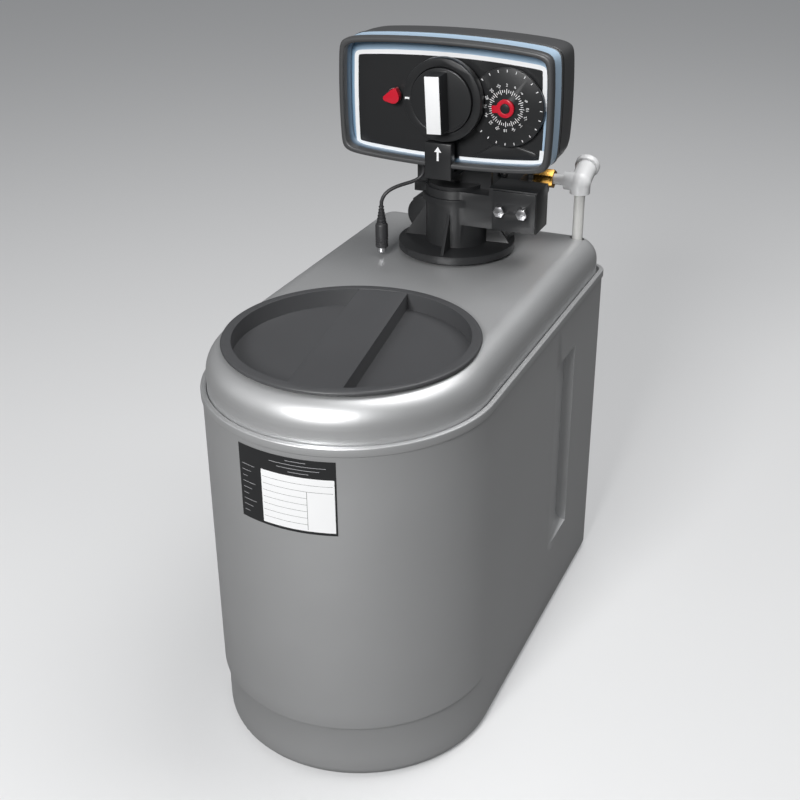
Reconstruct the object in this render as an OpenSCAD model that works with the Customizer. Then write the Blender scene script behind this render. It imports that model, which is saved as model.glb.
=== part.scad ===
// Compact cabinet water softener: a salt cabinet with a lift-off lid, a resin tank under a control
// valve, and a time-clock head that drives the valve's piston. Millimetres, +Z up, front facing -Y.
// The origin is on the floor, in the middle of the box round the whole object.

/* [Cabinet] */
// Width over the rim bead
cabinet_w = 230; // [226:1:250]
// Depth from the front of the rim bead to the rear wall
cabinet_d = 417; // [400:1:430]
// Height of the top of the rim bead
rim_z = 302; // [290:1:330]
// Height of the rim bead
bead_h = 7; // [5:0.5:9]
// How far the bead stands out from the wall
bead_proud = 1.2; // [0.8:0.1:2]
// Rounding of the bead's edges
bead_round = 1.1; // [0.5:0.1:1.4]
// Wall thickness
wall = 3; // [2.5:0.25:4]
// Floor thickness
floor_t = 4; // [3:0.5:6]
// Plan radius of the rear corners
rear_corner = 16; // [16:1:20]
// Height of the foot below the step
foot_h = 55; // [40:1:60]
// How far the foot is set back at the front; the step fades out along the sides
foot_inset = 5; // [3:0.5:7]
// Rounding of the foot's bottom edge
foot_edge = 9; // [6:1:10]
// Width of the ledge that carries the cover
ledge_w = 5; // [4:0.5:6]
// Depth of the ledge below the rim
ledge_drop = 7; // [6:0.5:10]

/* [Hand scoops] */
// Depth of a scoop at its rear edge
scoop_depth = 9; // [6:0.5:12]
// Length of a scoop
scoop_len = 53; // [40:1:60]
// Distance from a scoop's rear edge to the rear wall
scoop_back = 91; // [80:1:100]
// Height of a scoop's lower end
scoop_z = 77; // [70:1:100]
// Height of a scoop
scoop_h = 182; // [150:1:185]

/* [Cover] */
// Height of the cover's top above the rim
cover_h = 31; // [28:1:38]
// Gap between the cover's skirt and the cabinet's wall
cover_gap = 0.7; // [0.5:0.1:1.5]
// Radius of the cover's shoulder
shoulder_r = 20; // [15:1:21]
// Thickness of the cover
cover_t = 3; // [2.5:0.25:4]

/* [Salt lid] */
// Outer diameter of the lid's rim
lid_d = 196; // [190:1:198]
// Width of the rim
lid_rim_w = 8; // [7:0.5:9]
// Thickness of the rim
lid_rim_t = 3.5; // [3:0.5:5]
// Depth of the finger wells
lid_depth = 14; // [10:1:18]
// Wall thickness of the lid
lid_wall = 2.5; // [2:0.25:3]
// Width of the grip bar
grip_w = 40; // [30:1:50]
// Turn of the grip bar from the front-to-back line
grip_turn = 9; // [0:1:20]
// Gap between the lid's skirt and the cover's mouth
lid_gap = 1; // [0.5:0.1:1.5]

/* [Rating plate] */
// Width of the plate along the curved wall
plate_w = 78; // [60:1:90]
// Height of the plate
plate_h = 60; // [50:1:70]
// Distance from the rim down to the plate
plate_drop = 11; // [9:1:20]
// Thickness of the plate
plate_t = 0.4; // [0.3:0.1:0.8]

/* [Overflow] */
// Diameter of the overflow spigot
overflow_d = 13; // [10:1:16]
// Length of the overflow spigot behind its nut
overflow_len = 20; // [15:1:24]
// Height of the overflow below the rim
overflow_drop = 62; // [50:1:90]
// Distance of the overflow left of the middle
overflow_off = 62; // [50:1:75]

/* [Tank] */
// Outer diameter of the resin tank
tank_d = 120; // [110:1:120]
// Wall of the resin tank
tank_wall = 3; // [2:0.5:4]
// Distance from the rear wall to the tank's axis
tank_back = 89; // [80:1:95]
// Outer diameter of the tank's neck
neck_d = 80; // [78:1:84]
// Diameter of the valve's thread in the neck
thread_d = 63.2; // [60:0.1:66]
// Diameter of the riser tube
riser_d = 20; // [18:1:22]
// Gap of a fixed fit, on the radius
fit_gap = 0.1; // [0.05:0.05:0.2]
// Height of the resin bed
resin_h = 150; // [100:5:170]

/* [Brine well] */
// Outer diameter of the brine well
well_d = 44; // [42:1:46]
// Wall of the brine well
well_wall = 2; // [1.5:0.25:2.5]
// Gap between the well and the cabinet's walls
well_gap = 3.2; // [3:0.2:5]
// Height of the brine well
well_h = 200; // [180:5:220]
// Diameter of the brine tube
tube_d = 9.5; // [8:0.5:10]
// Diameter of the float
float_d = 18; // [14:1:19]
// Length of the float
float_h = 24; // [18:1:30]
// Rise of the float
float_rise = 60; // [40:1:60]

/* [Valve] */
// Diameter of the flange over the tank's neck
flange_d = 102; // [98:1:110]
// Thickness of the flange
flange_t = 9; // [7:1:12]
// Diameter of the barrel
barrel_d = 54; // [50:1:60]
// Height of the valve's top above the cover
valve_h = 59; // [55:1:65]
// Bore of the barrel
chamber_d = 30; // [28:1:34]
// Diameter of the piston
piston_d = 20; // [16:1:22]
// Travel of the piston
piston_travel = 24; // [18:1:24]
// Diameter of the piston rod
rod_d = 6; // [5:0.5:8]
// Running clearance on the radius
run_gap = 0.05; // [0.02:0.01:0.08]
// Distance of a port's axis from the middle
port_off = 33; // [30:1:36]
// Outer diameter of an inlet or outlet fitting
port_d = 26.4; // [24:0.1:27]
// Length of a fitting's free spigot
port_len = 36; // [30:1:40]
// Diameter of the drain spigot
drain_d = 12; // [10:1:13]

/* [Head] */
// Width of the head
head_w = 187; // [182:1:200]
// Height of the head
head_h = 105; // [102:1:112]
// Height of the head above the valve's top
head_lift = 23; // [18:1:25]
// Distance from the valve's axis forward to the bezel's front
head_fwd = 38; // [37:0.5:40]
// Depth of the bezel
bezel_d = 29.5; // [29:0.5:30]
// Thickness of the bezel's band
bezel_t = 4.5; // [3:0.5:5]
// Depth of the panel below the bezel's front
panel_drop = 16; // [15:0.5:16.5]
// Thickness of the panel
panel_t = 2; // [1.5:0.25:2]
// Depth of the back shell
shell_d = 57; // [55:1:65]
// Thickness of the back shell
shell_t = 2.5; // [2:0.25:3]

/* [Controls] */
// Outer diameter of the day dial's ring
dial_d = 68; // [60:1:70]
// Diameter of the program knob
knob_d = 53; // [46:1:54]
// Width of the knob's bar
bar_w = 13; // [10:1:16]
// How far the bar stands out of the knob
bar_h = 16.5; // [12:0.5:20]
// Length of the knob's bar
bar_l = 47; // [40:1:50]
// Height of the knob above the middle of the head
knob_up = 4; // [2:0.5:6]
// Turn of the knob at rest
knob_turn = 3; // [0:1:10]
// Gear module
gear_m = 1.5; // [1.4:0.05:1.5]
// Teeth of the day dial's gear
dial_teeth = 48; // [48:4:48]
// Teeth of the drive pinion
pinion_teeth = 16; // [16:4:16]
// Height of the set button below the knob
button_drop = 3; // [0:0.5:5]
// Travel of the set button
button_travel = 3; // [2:0.5:3]
// Distance of the metering wheel right of the middle
wheel_off = 52; // [51:0.5:54]
// Diameter of the metering wheel
wheel_d = 64; // [56:1:65]
// Outer diameter of the pointer's ring
pointer_d = 15; // [14:1:20]

/* [Power lead] */
// Diameter of the power lead
lead_d = 3.2; // [2.8:0.1:3.6]
// Diameter of the inline connector
plug_d = 11; // [9:0.5:13]

/* [Hidden] */
$fn = 96;
eps = 0.01;

// Plan of the cabinet
bead_r = cabinet_w / 2;
wall_r = bead_r - bead_proud;
rear_len = cabinet_d - bead_r;
boss_reach = 80;
port_lip = 4;
overall_d = bead_r + rear_len - tank_back + boss_reach + port_lip + port_len;
lid_y = bead_r - overall_d / 2;
rear_y = lid_y + rear_len;
tank_y = rear_y - tank_back;
foot_y = lid_y + foot_inset;

// Cover and lid
seat_z = rim_z - ledge_drop;
ledge_t = 4;
cover_z = rim_z + cover_h;
cover_r = wall_r - wall - cover_gap;
cover_rear = rear_y - wall - cover_gap;
cover_corner = shoulder_r + 1;
lid_r = lid_d / 2;
lid_well_r = lid_r - lid_rim_w;
lid_skirt_r = lid_well_r + lid_wall;
mouth_r = lid_skirt_r + lid_gap;
lid_top = cover_z + lid_rim_t;
lid_floor = lid_top - lid_depth;

// Tank
tank_r = tank_d / 2;
tank_in = tank_r - tank_wall;
boot_lift = 8;
tank_z = floor_t + boot_lift;
dome_low = tank_z + tank_r;
dome_high = cover_z - 78;
seal_t = 2;
neck_r = neck_d / 2;
neck_bore = thread_d / 2 + fit_gap;
neck_top = cover_z - seal_t;
boss_len = 31;
boss_z = cover_z - boss_len;
riser_r = riser_d / 2;
strainer_z = tank_z + tank_wall + 3;
strainer_h = 34;
resin_z = strainer_z + strainer_h + 0.5;
resin_r = sqrt(tank_in * tank_in - (dome_low - resin_z) * (dome_low - resin_z)) - fit_gap;

// Brine well, tube and tee
well_r = well_d / 2;
well_x = wall_r - wall - well_gap - well_r;
well_y = rear_y - wall - well_gap - well_r;
well_top = floor_t + well_h;
cap_t = 4;
tube_r = tube_d / 2;
tube_off = [5.4, 5.2];
tube_x = well_x + tube_off.x;
tube_y = well_y + tube_off.y;
float_x = well_x - 7.5;
float_y = well_y - 6;
float_rod_r = 1.5;
check_r = tube_r + 2.2;
check_h = 36;
float_z = well_top - float_h - float_rise - 20;
tube_hole_r = tube_r + 1.8;
tee_z = cover_z + 51.5;
tee_r = 9.5;
tee_leg = 14;
tee_tilt = 25;
tee_branch = 19;
collar_r = 11;
collar_t = 6;

// Sweeps a profile round the cabinet's plan: x is the distance out from the plan's edge, y the height
module around(r, rear, corner, front = lid_y) {
  translate([0, front, 0])
    rotate([0, 0, 180])
      rotate_extrude(angle = 180)
        translate([r, 0])
          children();
  for (side = [0, 1])
    mirror([side, 0, 0]) {
      translate([r, rear - corner, 0])
        rotate([90, 0, 0])
          linear_extrude(rear - corner - front)
            children();
      translate([r - corner, rear - corner, 0])
        rotate_extrude(angle = 90)
          translate([corner, 0])
            children();
    }
  translate([corner - r, rear, 0])
    rotate([90, 0, 90])
      linear_extrude(2 * (r - corner))
        children();
}

// Plan of the cabinet: a half round front, straight sides and rounded rear corners
module plan(r, rear, corner, front = lid_y) {
  translate([0, front])
    circle(r);
  translate([-r, front])
    square([2 * r, rear - corner - front]);
  translate([corner - r, front])
    square([2 * (r - corner), rear - front]);
  for (side = [-1, 1])
    translate([side * (r - corner), rear - corner])
      circle(corner);
}

// Section of the foot's wall, rounded at the floor
module foot_profile() {
  translate([-wall, foot_edge])
    square([wall, foot_h - foot_edge]);
  translate([-foot_edge, foot_edge])
    difference() {
      intersection() {
        circle(foot_edge);
        translate([0, -foot_edge])
          square(foot_edge);
      }
      circle(foot_edge - wall);
    }
}

module bead_profile() {
  z = rim_z - bead_h;
  translate([-wall, z])
    square([wall + bead_proud - bead_round, bead_h]);
  translate([-wall, z + bead_round])
    square([wall + bead_proud, bead_h - 2 * bead_round]);
  for (h = [z + bead_round, rim_z - bead_round])
    translate([bead_proud - bead_round, h])
      circle(bead_round);
}

module wall_profile() {
  translate([-wall, foot_h])
    square([wall, rim_z - foot_h]);
  bead_profile();
  translate([-wall - ledge_w, seat_z - ledge_t])
    square([wall + ledge_w, ledge_t]);
}

// Wedge of a hand scoop, grown by a wall on its inner side
module scoop(grow) {
  deep = rear_y - scoop_back;
  for (side = [0, 1])
    mirror([side, 0, 0])
      translate([0, 0, scoop_z - grow])
        linear_extrude(scoop_h + 2 * grow)
          polygon([
            [wall_r + (grow > 0 ? -wall / 2 : 1), deep - scoop_len],
            [wall_r - grow, deep - scoop_len],
            [wall_r - scoop_depth - grow, deep],
            [wall_r - scoop_depth - grow, deep + grow],
            [wall_r + (grow > 0 ? -wall / 2 : 1), deep + grow]
          ]);
}

module cabinet_body() {
  color("silver")
    difference() {
      union() {
        linear_extrude(floor_t)
          plan(wall_r - foot_edge, rear_y - foot_edge, rear_corner - foot_edge, foot_y);
        around(wall_r, rear_y, rear_corner, foot_y)
          foot_profile();
        translate([0, 0, foot_h])
          linear_extrude(wall)
            difference() {
              plan(wall_r, rear_y, rear_corner);
              plan(wall_r - wall, rear_y - wall, rear_corner - wall, foot_y);
            }
        around(wall_r, rear_y, rear_corner)
          wall_profile();
        scoop(wall);
      }
      scoop(0);
      translate([-overflow_off, rear_y, rim_z - overflow_drop])
        rotate([90, 0, 0])
          cylinder(r = overflow_body_r + fit_gap, h = 4 * wall, center = true);
    }
}

module shoulder_profile() {
  translate([-cover_t, seat_z])
    square([cover_t, cover_z - shoulder_r - seat_z]);
  translate([-shoulder_r, cover_z - shoulder_r])
    difference() {
      intersection() {
        circle(shoulder_r);
        square(shoulder_r);
      }
      circle(shoulder_r - cover_t);
    }
}

module cabinet_cover() {
  color("silver")
    difference() {
      union() {
        around(cover_r, cover_rear, cover_corner)
          shoulder_profile();
        translate([0, 0, cover_z - cover_t])
          linear_extrude(cover_t)
            plan(cover_r - shoulder_r, cover_rear - shoulder_r, cover_corner - shoulder_r);
      }
      translate([0, lid_y, rim_z])
        cylinder(r = mouth_r, h = 2 * cover_h);
      translate([0, tank_y, rim_z])
        cylinder(r = neck_r + 4, h = 2 * cover_h);
      translate([tube_x, tube_y, rim_z])
        cylinder(r = tube_hole_r, h = 2 * cover_h);
    }
}

module salt_lid() {
  rim_round = lid_rim_t / 2;
  color("dimgray")
    translate([0, lid_y, 0])
      difference() {
        union() {
          rotate_extrude() {
            translate([lid_well_r, cover_z])
              square([lid_rim_w - rim_round, lid_rim_t]);
            translate([lid_r - rim_round, cover_z + rim_round])
              circle(rim_round);
            translate([lid_well_r, lid_floor - lid_wall])
              square([lid_wall, lid_depth + lid_wall - eps]);
            translate([0, lid_floor - lid_wall])
              square([lid_skirt_r, lid_wall]);
          }
          intersection() {
            rotate([0, 0, grip_turn])
              translate([-grip_w / 2, -lid_r, lid_floor - lid_wall])
                cube([grip_w, lid_d, lid_depth + lid_wall - 0.5]);
            translate([0, 0, rim_z])
              cylinder(r = lid_well_r + lid_wall / 2, h = 2 * cover_h);
          }
        }
        intersection() {
          rotate([0, 0, grip_turn])
            translate([lid_wall - grip_w / 2, -lid_r, lid_floor - 2 * lid_wall])
              cube([grip_w - 2 * lid_wall, lid_d, lid_depth + lid_wall - 0.5]);
          translate([0, 0, rim_z])
            cylinder(r = lid_well_r - lid_wall, h = 2 * cover_h);
        }
      }
}

module rating_plate() {
  turn = plate_w / wall_r * 180 / PI;
  color("black")
    translate([0, lid_y, rim_z - plate_drop - plate_h])
      rotate([0, 0, -90 - turn / 2])
        rotate_extrude(angle = turn)
          translate([wall_r + fit_gap, 0])
            square([plate_t, plate_h]);
}

// Overflow: a spigot through the rear wall, held by a nut
overflow_body_r = overflow_d / 2 + 2;
overflow_flange_r = overflow_body_r + 5;
overflow_bore = overflow_d / 2 - 2;
overflow_seal_t = 1.5;
nut_t = 6;

module at_overflow() {
  translate([-overflow_off, rear_y, rim_z - overflow_drop])
    rotate([-90, 0, 0])
      children();
}

module overflow_fitting() {
  inner = wall + overflow_seal_t;
  color("dimgray")
    at_overflow()
      difference() {
        union() {
          translate([0, 0, -inner - 3])
            cylinder(r = overflow_flange_r, h = 3);
          translate([0, 0, -inner])
            cylinder(r = overflow_body_r, h = inner + nut_t);
          cylinder(d = overflow_d, h = nut_t + overflow_len);
        }
        translate([0, 0, -inner - 4])
          cylinder(r = overflow_bore, h = inner + overflow_len + 2 * nut_t);
      }
}

module overflow_nut() {
  color("dimgray")
    at_overflow()
      difference() {
        cylinder(r = overflow_body_r + 5, h = nut_t, $fn = 6);
        translate([0, 0, -1])
          cylinder(r = overflow_body_r + fit_gap, h = nut_t + 2);
      }
}

module overflow_seal() {
  color("black")
    at_overflow()
      translate([0, 0, -wall - overflow_seal_t])
        difference() {
          cylinder(r = overflow_flange_r, h = overflow_seal_t);
          translate([0, 0, -1])
            cylinder(r = overflow_body_r + fit_gap, h = overflow_seal_t + 2);
        }
}

module resin_tank() {
  color("steelblue")
    translate([0, tank_y, 0])
      difference() {
        union() {
          translate([0, 0, dome_low])
            cylinder(r = tank_r, h = dome_high - dome_low);
          for (z = [dome_low, dome_high])
            translate([0, 0, z])
              sphere(tank_r);
          translate([0, 0, dome_high])
            cylinder(r = neck_r, h = neck_top - dome_high);
        }
        translate([0, 0, dome_low])
          cylinder(r = tank_in, h = dome_high - dome_low);
        for (z = [dome_low, dome_high])
          translate([0, 0, z])
            sphere(tank_in);
        translate([0, 0, dome_high])
          cylinder(r = neck_bore, h = cover_z);
      }
}

module tank_boot() {
  boot_r = tank_r * 0.8;
  boot_h = dome_low - floor_t - sqrt(tank_r * tank_r - boot_r * boot_r);
  color("black")
    translate([0, tank_y, floor_t])
      difference() {
        cylinder(r = boot_r, h = boot_h);
        translate([0, 0, dome_low - floor_t])
          sphere(tank_r + fit_gap);
        translate([0, 0, -1])
          cylinder(r = boot_r / 2, h = boot_h);
      }
}

module ring(r_out, r_in, h) {
  difference() {
    cylinder(r = r_out, h = h);
    translate([0, 0, -1])
      cylinder(r = r_in, h = h + 2);
  }
}

module riser_tube() {
  foot = strainer_z + 6;
  color("white")
    translate([0, tank_y, foot])
      ring(riser_r, riser_r - 2, boss_z + 8 - foot);
}

module lower_strainer() {
  color("dimgray")
    translate([0, tank_y, strainer_z])
      difference() {
        cylinder(r = riser_r + 6, h = strainer_h);
        translate([0, 0, 6])
          cylinder(r = riser_r + fit_gap, h = strainer_h);
      }
}

module upper_strainer() {
  strainer_t = 14;
  color("dimgray")
    translate([0, tank_y, boss_z - strainer_t])
      ring(neck_bore - 6, riser_r + fit_gap, strainer_t);
}

module resin_bed() {
  color("goldenrod")
    translate([0, tank_y, resin_z])
      ring(resin_r, riser_r + fit_gap, resin_h);
}

module neck_seal() {
  color("black")
    translate([0, tank_y, neck_top])
      ring(neck_r, neck_bore + 1, seal_t);
}

module brine_well() {
  color("whitesmoke")
    translate([well_x, well_y, floor_t])
      ring(well_r, well_r - well_wall, well_h);
}

module well_cap() {
  color("dimgray")
    difference() {
      translate([well_x, well_y, well_top])
        cylinder(r = well_r, h = cap_t);
      translate([tube_x, tube_y, well_top - 1])
        cylinder(r = tube_r + fit_gap, h = cap_t + 2);
      translate([float_x, float_y, well_top - 1])
        cylinder(r = float_rod_r + run_gap, h = cap_t + 2);
    }
}

module air_check() {
  color("whitesmoke")
    translate([tube_x, tube_y, floor_t])
      difference() {
        cylinder(r = check_r, h = check_h);
        translate([0, 0, check_h / 2])
          cylinder(r = tube_r + fit_gap, h = check_h);
      }
}

module float_rod() {
  color("whitesmoke")
    translate([float_x, float_y, floor_t + 2])
      cylinder(r = float_rod_r, h = well_h + cap_t + 30);
}

module brine_float() {
  color("whitesmoke")
    translate([float_x, float_y, float_z])
      difference() {
        union() {
          cylinder(d = float_d, h = float_h - float_d / 4);
          translate([0, 0, float_h - float_d / 4])
            cylinder(d1 = float_d, d2 = float_d / 2, h = float_d / 4);
        }
        translate([0, 0, -1])
          cylinder(r = float_rod_r, h = float_h + 2);
      }
}

module brine_tube() {
  foot = floor_t + check_h / 2;
  color("whitesmoke")
    translate([tube_x, tube_y, foot])
      ring(tube_r, tube_r - 1.5, tee_z - foot);
}

// Valve
flange_r = flange_d / 2;
barrel_r = barrel_d / 2;
valve_top = cover_z + valve_h;
flange_top = cover_z + flange_t;
flange_foot = 2.5;
chamber_r = chamber_d / 2;
chamber_z = boss_z + 10;
plug_t = 10;
plug_z = valve_top - plug_t;
piston_r = piston_d / 2;
piston_z = chamber_z + 2;
piston_len = plug_z - piston_z - piston_travel;
rod_r = rod_d / 2;
rod_seat = 8;
rod_top = valve_top + 22;
retainer_r = 25;
retainer_t = 3;
seal_count = 6;
seal_h = 3;
spacer_h = (plug_z - chamber_z - seal_count * seal_h) / (seal_count - 1);
deck = [36, 34, 8];
deck_front = 10;
inj_x = 80;
inj_front = tank_y - 24;
inj_z = cover_z + 30;
inj_h = 36;
inj_step = 38;
inj_cover_t = 3;
inj_cover_w = 38;
bolt_x = [inj_x - inj_cover_w + 7, inj_x - 11];
bolt_z = inj_z + inj_h / 2;
bolt_r = 2.5;
nozzle_r = 5;
nozzle_x = inj_x - inj_cover_w / 2;
nozzle_len = 20;
brine_arm_h = 18;
brine_boss_r = 11;
brass_hex_r = 8.5;
brass_len = 17;
pipe_len = 10;
brine_end = tube_x - tee_leg - pipe_len - brass_len;
stem_grip = 5;
spigot_r = 6;
spigot_len = 4;
stem_x = brine_end - 8;
stem_r = 3;
stem_cup_r = 7;
stem_top = tee_z + 22;
stem_collar_t = 3;
stem_depth = 11;
stem_travel = 4;
cup_top = tee_z + 12;
port_z = cover_z + 25;
port_lip_r = 16;
port_bore_r = 9;
drain_z = cover_z + 45;
drain_boss_r = 9;
drain_reach = 74;
drain_root = 20;
drain_hex_t = 6;
drain_len = 30;

// Lays a drawing of x and z upright, from y to y + depth
module slab_y(y, depth) {
  translate([0, y + depth, 0])
    rotate([90, 0, 0])
      linear_extrude(depth)
        children();
}

// Cylinder along +Y from y
module rod_y(x, y, z, r, len) {
  translate([x, y, z])
    rotate([-90, 0, 0])
      cylinder(r = r, h = len);
}

// Cylinder along +X from x
module rod_x(x, y, z, r, len) {
  translate([x, y, z])
    rotate([0, 90, 0])
      cylinder(r = r, h = len);
}

module brine_tee() {
  stem_in = brine_end + brass_len - stem_grip;
  color("white")
    difference() {
      translate([tube_x, tube_y, tee_z]) {
        sphere(tee_r);
        translate([0, 0, 4 - tee_leg])
          cylinder(r = tee_r - 0.5, h = tee_leg - 4);
        rod_x(-tee_leg, 0, 0, tee_r - 1.5, tee_leg);
        rod_x(stem_in - tube_x, 0, 0, tube_r, tube_x - stem_in);
        rotate([tee_tilt - 90, 0, 0])
          cylinder(r = tee_r - 0.3, h = tee_branch);
      }
      translate([tube_x, tube_y, tee_z - 2 * tee_leg])
        cylinder(r = tube_r + fit_gap, h = 2 * tee_leg);
    }
}

module tee_collar() {
  color("lightgray")
    translate([tube_x, tube_y, tee_z])
      rotate([tee_tilt - 90, 0, 0])
        translate([0, 0, tee_branch])
          cylinder(r = collar_r, h = collar_t);
}

module brass_fitting() {
  color("goldenrod")
    difference() {
      union() {
        rod_x(brine_end - spigot_len, tube_y, tee_z, spigot_r, spigot_len + 1);
        translate([brine_end, tube_y, tee_z])
          rotate([0, 90, 0])
            cylinder(r = brass_hex_r, h = brass_len, $fn = 6);
      }
      rod_x(brine_end + brass_len - stem_grip, tube_y, tee_z, tube_r + fit_gap, 2 * stem_grip);
      rod_x(brine_end - 2 * spigot_len, tube_y, tee_z, 2, 40);
    }
}

module gussets() {
  for (a = [-84 : 90 : 186])
    translate([0, tank_y, 0])
      rotate([90, 0, a])
        linear_extrude(2.5, center = true)
          polygon([
            [barrel_r - 2, flange_top - 1],
            [flange_r - 3, flange_top - 1],
            [flange_r - 5, flange_top + 2],
            [barrel_r, flange_top + 30],
            [barrel_r - 2, flange_top + 30]
          ]);
}

module valve_solid() {
  translate([0, tank_y, boss_z])
    cylinder(r = thread_d / 2, h = boss_len + 1);
  translate([0, tank_y, cover_z])
    cylinder(r = flange_r - 5, h = flange_t);
  translate([0, tank_y, cover_z + flange_foot])
    cylinder(r = flange_r, h = flange_t - flange_foot);
  translate([0, tank_y, cover_z])
    cylinder(r = barrel_r, h = valve_h);
  translate([0, tank_y, plug_z - 3])
    cylinder(r = barrel_r + 2.5, h = 6);
  gussets();
  translate([-deck.x, tank_y - deck_front, valve_top - deck.z])
    cube([2 * deck.x, deck_front + deck.y, deck.z]);
  translate([0, inj_front, inj_z])
    cube([inj_x, tank_y + 6 - inj_front, valve_top - inj_z]);
  translate([inj_step, inj_front, inj_z])
    cube([inj_x - inj_step, tank_y + 6 - inj_front, inj_h]);
  translate([20, tank_y + 20, tee_z - brine_arm_h])
    cube([stem_x - 16, tube_y + 9 - tank_y - 20, valve_top - tee_z + brine_arm_h]);
  rod_x(stem_x - 8, tube_y, tee_z, brine_boss_r, brine_end - stem_x + 8);
  translate([stem_x, tube_y, tee_z])
    cylinder(r = stem_cup_r, h = cup_top - tee_z);
  translate([-port_off - 11, tank_y + 5, flange_top - 1])
    cube([2 * port_off + 22, 23, port_z + 14 - flange_top]);
  for (side = [-1, 1])
    rod_y(side * port_off, tank_y + 5, port_z, port_lip_r, boss_reach - 5);
  rod_y(0, tank_y + drain_root, drain_z, drain_boss_r, drain_reach - drain_root);
}

module valve_body() {
  color("#2b2d2f")
    difference() {
      valve_solid();
      translate([0, tank_y, chamber_z])
        cylinder(r = chamber_r, h = valve_h + boss_len);
      translate([0, tank_y, boss_z - 1])
        cylinder(r = riser_r + fit_gap, h = chamber_z - boss_z + 2);
      for (side = [-1, 1])
        rod_y(side * port_off, tank_y + 30, port_z, port_bore_r, boss_reach);
      rod_y(0, tank_y + 30, drain_z, drain_d / 2 - 2, boss_reach);
      rod_y(nozzle_x, inj_front - 1, bolt_z, nozzle_r + fit_gap, nozzle_len + 2);
      for (x = bolt_x)
        rod_y(x, inj_front - 1, bolt_z, bolt_r + fit_gap, 16);
      rod_x(brine_end - spigot_len - 0.1, tube_y, tee_z, spigot_r + fit_gap, 20);
      translate([stem_x, tube_y, tee_z - stem_depth - stem_travel - 1])
        cylinder(r = stem_r + run_gap, h = 40);
      for (side = [-1, 1])
        translate([side * foot_screw.x, tank_y + foot_screw.y, valve_top - deck.z - 1])
          cylinder(r = screw_r + fit_gap, h = deck.z + 2);
    }
}

module end_plug() {
  color("dimgray")
    translate([0, tank_y, plug_z])
      ring(chamber_r - fit_gap, rod_r + run_gap, plug_t);
}

module plug_retainer() {
  color("gray")
    translate([0, tank_y, valve_top])
      ring(retainer_r, rod_r + 2, retainer_t);
}

module seal_stack() {
  color("black")
    for (i = [0 : seal_count - 1])
      translate([0, tank_y, chamber_z + i * (seal_h + spacer_h)])
        ring(chamber_r - fit_gap, piston_r + run_gap, seal_h);
}

module spacer_stack() {
  color("gray")
    for (i = [0 : seal_count - 2])
      translate([0, tank_y, chamber_z + seal_h + i * (seal_h + spacer_h)])
        ring(chamber_r - fit_gap, piston_r + 1.5, spacer_h);
}

module piston() {
  color("gold")
    translate([0, tank_y, piston_z])
      difference() {
        cylinder(r = piston_r, h = piston_len);
        translate([0, 0, piston_len - rod_seat])
          cylinder(r = rod_r + fit_gap, h = rod_seat + 1);
        translate([0, 0, piston_len * 0.3])
          ring(piston_r + 1, piston_r - 3, piston_len * 0.25);
      }
}

module piston_rod() {
  color("silver")
    translate([0, tank_y, piston_z + piston_len - rod_seat])
      cylinder(r = rod_r, h = rod_top - piston_z - piston_len + rod_seat);
}

module injector_cover() {
  color("#232527")
    difference() {
      translate([inj_x - inj_cover_w, inj_front - inj_cover_t, inj_z + 1])
        cube([inj_cover_w, inj_cover_t, inj_h - 2]);
      for (x = bolt_x)
        rod_y(x, inj_front - 2 * inj_cover_t, bolt_z, bolt_r + fit_gap, 3 * inj_cover_t);
    }
}

module injector_nozzle() {
  color("red")
    difference() {
      rod_y(nozzle_x, inj_front, bolt_z, nozzle_r, nozzle_len);
      rod_y(nozzle_x, inj_front - 1, bolt_z, 1.5, nozzle_len + 2);
    }
}

module injector_screws() {
  color("silver")
    for (x = bolt_x) {
      rod_y(x, inj_front - inj_cover_t, bolt_z, bolt_r, 14);
      translate([x, inj_front - inj_cover_t, bolt_z])
        rotate([90, 0, 0])
          cylinder(r = 2 * bolt_r, h = 4, $fn = 6);
    }
}

module brine_stem() {
  color("silver")
    translate([stem_x, tube_y, 0]) {
      translate([0, 0, tee_z - stem_depth])
        cylinder(r = stem_r, h = stem_top - tee_z + stem_depth);
      translate([0, 0, stem_top - stem_collar_t])
        cylinder(r = stem_cup_r - 1, h = stem_collar_t);
    }
}

// Coil of round wire standing along +Z between two heights
module coil(r, wire, height, turns) {
  steps = 12;
  path = [
    for (i = [0 : turns * steps])
      [r * cos(360 * i / steps), r * sin(360 * i / steps), wire + (height - 2 * wire) * i / (turns * steps)]
  ];
  tube(path, wire / 2, [0, 0, 1], 8);
}

module brine_spring() {
  color("silver")
    translate([stem_x, tube_y, cup_top])
      coil(stem_r + 1.6, 0.9, stem_top - stem_collar_t - cup_top, 4);
}

module port_fitting(side) {
  y = tank_y + boss_reach;
  color("dimgray")
    difference() {
      union() {
        rod_y(side * port_off, y, port_z, port_lip_r, port_lip);
        rod_y(side * port_off, y, port_z, port_d / 2, port_lip + port_len);
      }
      rod_y(side * port_off, y - 1, port_z, port_bore_r, port_len + 2 * port_lip);
    }
}

module inlet_fitting() {
  port_fitting(-1);
}

module outlet_fitting() {
  port_fitting(1);
}

module port_clips() {
  color("red")
    for (side = [-1, 1])
      translate([side * port_off, tank_y + boss_reach, port_z])
        rotate([-90, 0, 0])
          rotate([0, 0, 150])
            rotate_extrude(angle = 240)
              translate([port_lip_r + fit_gap, 0])
                square([2, port_lip]);
}

module drain_fitting() {
  y = tank_y + drain_reach;
  color("dimgray")
    difference() {
      union() {
        translate([0, y, drain_z])
          rotate([-90, 0, 0])
            cylinder(r = drain_boss_r, h = drain_hex_t, $fn = 6);
        rod_y(0, y, drain_z, drain_d / 2, drain_hex_t + drain_len);
      }
      rod_y(0, y - 1, drain_z, drain_d / 2 - 2, 2 * drain_len);
    }
}

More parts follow.
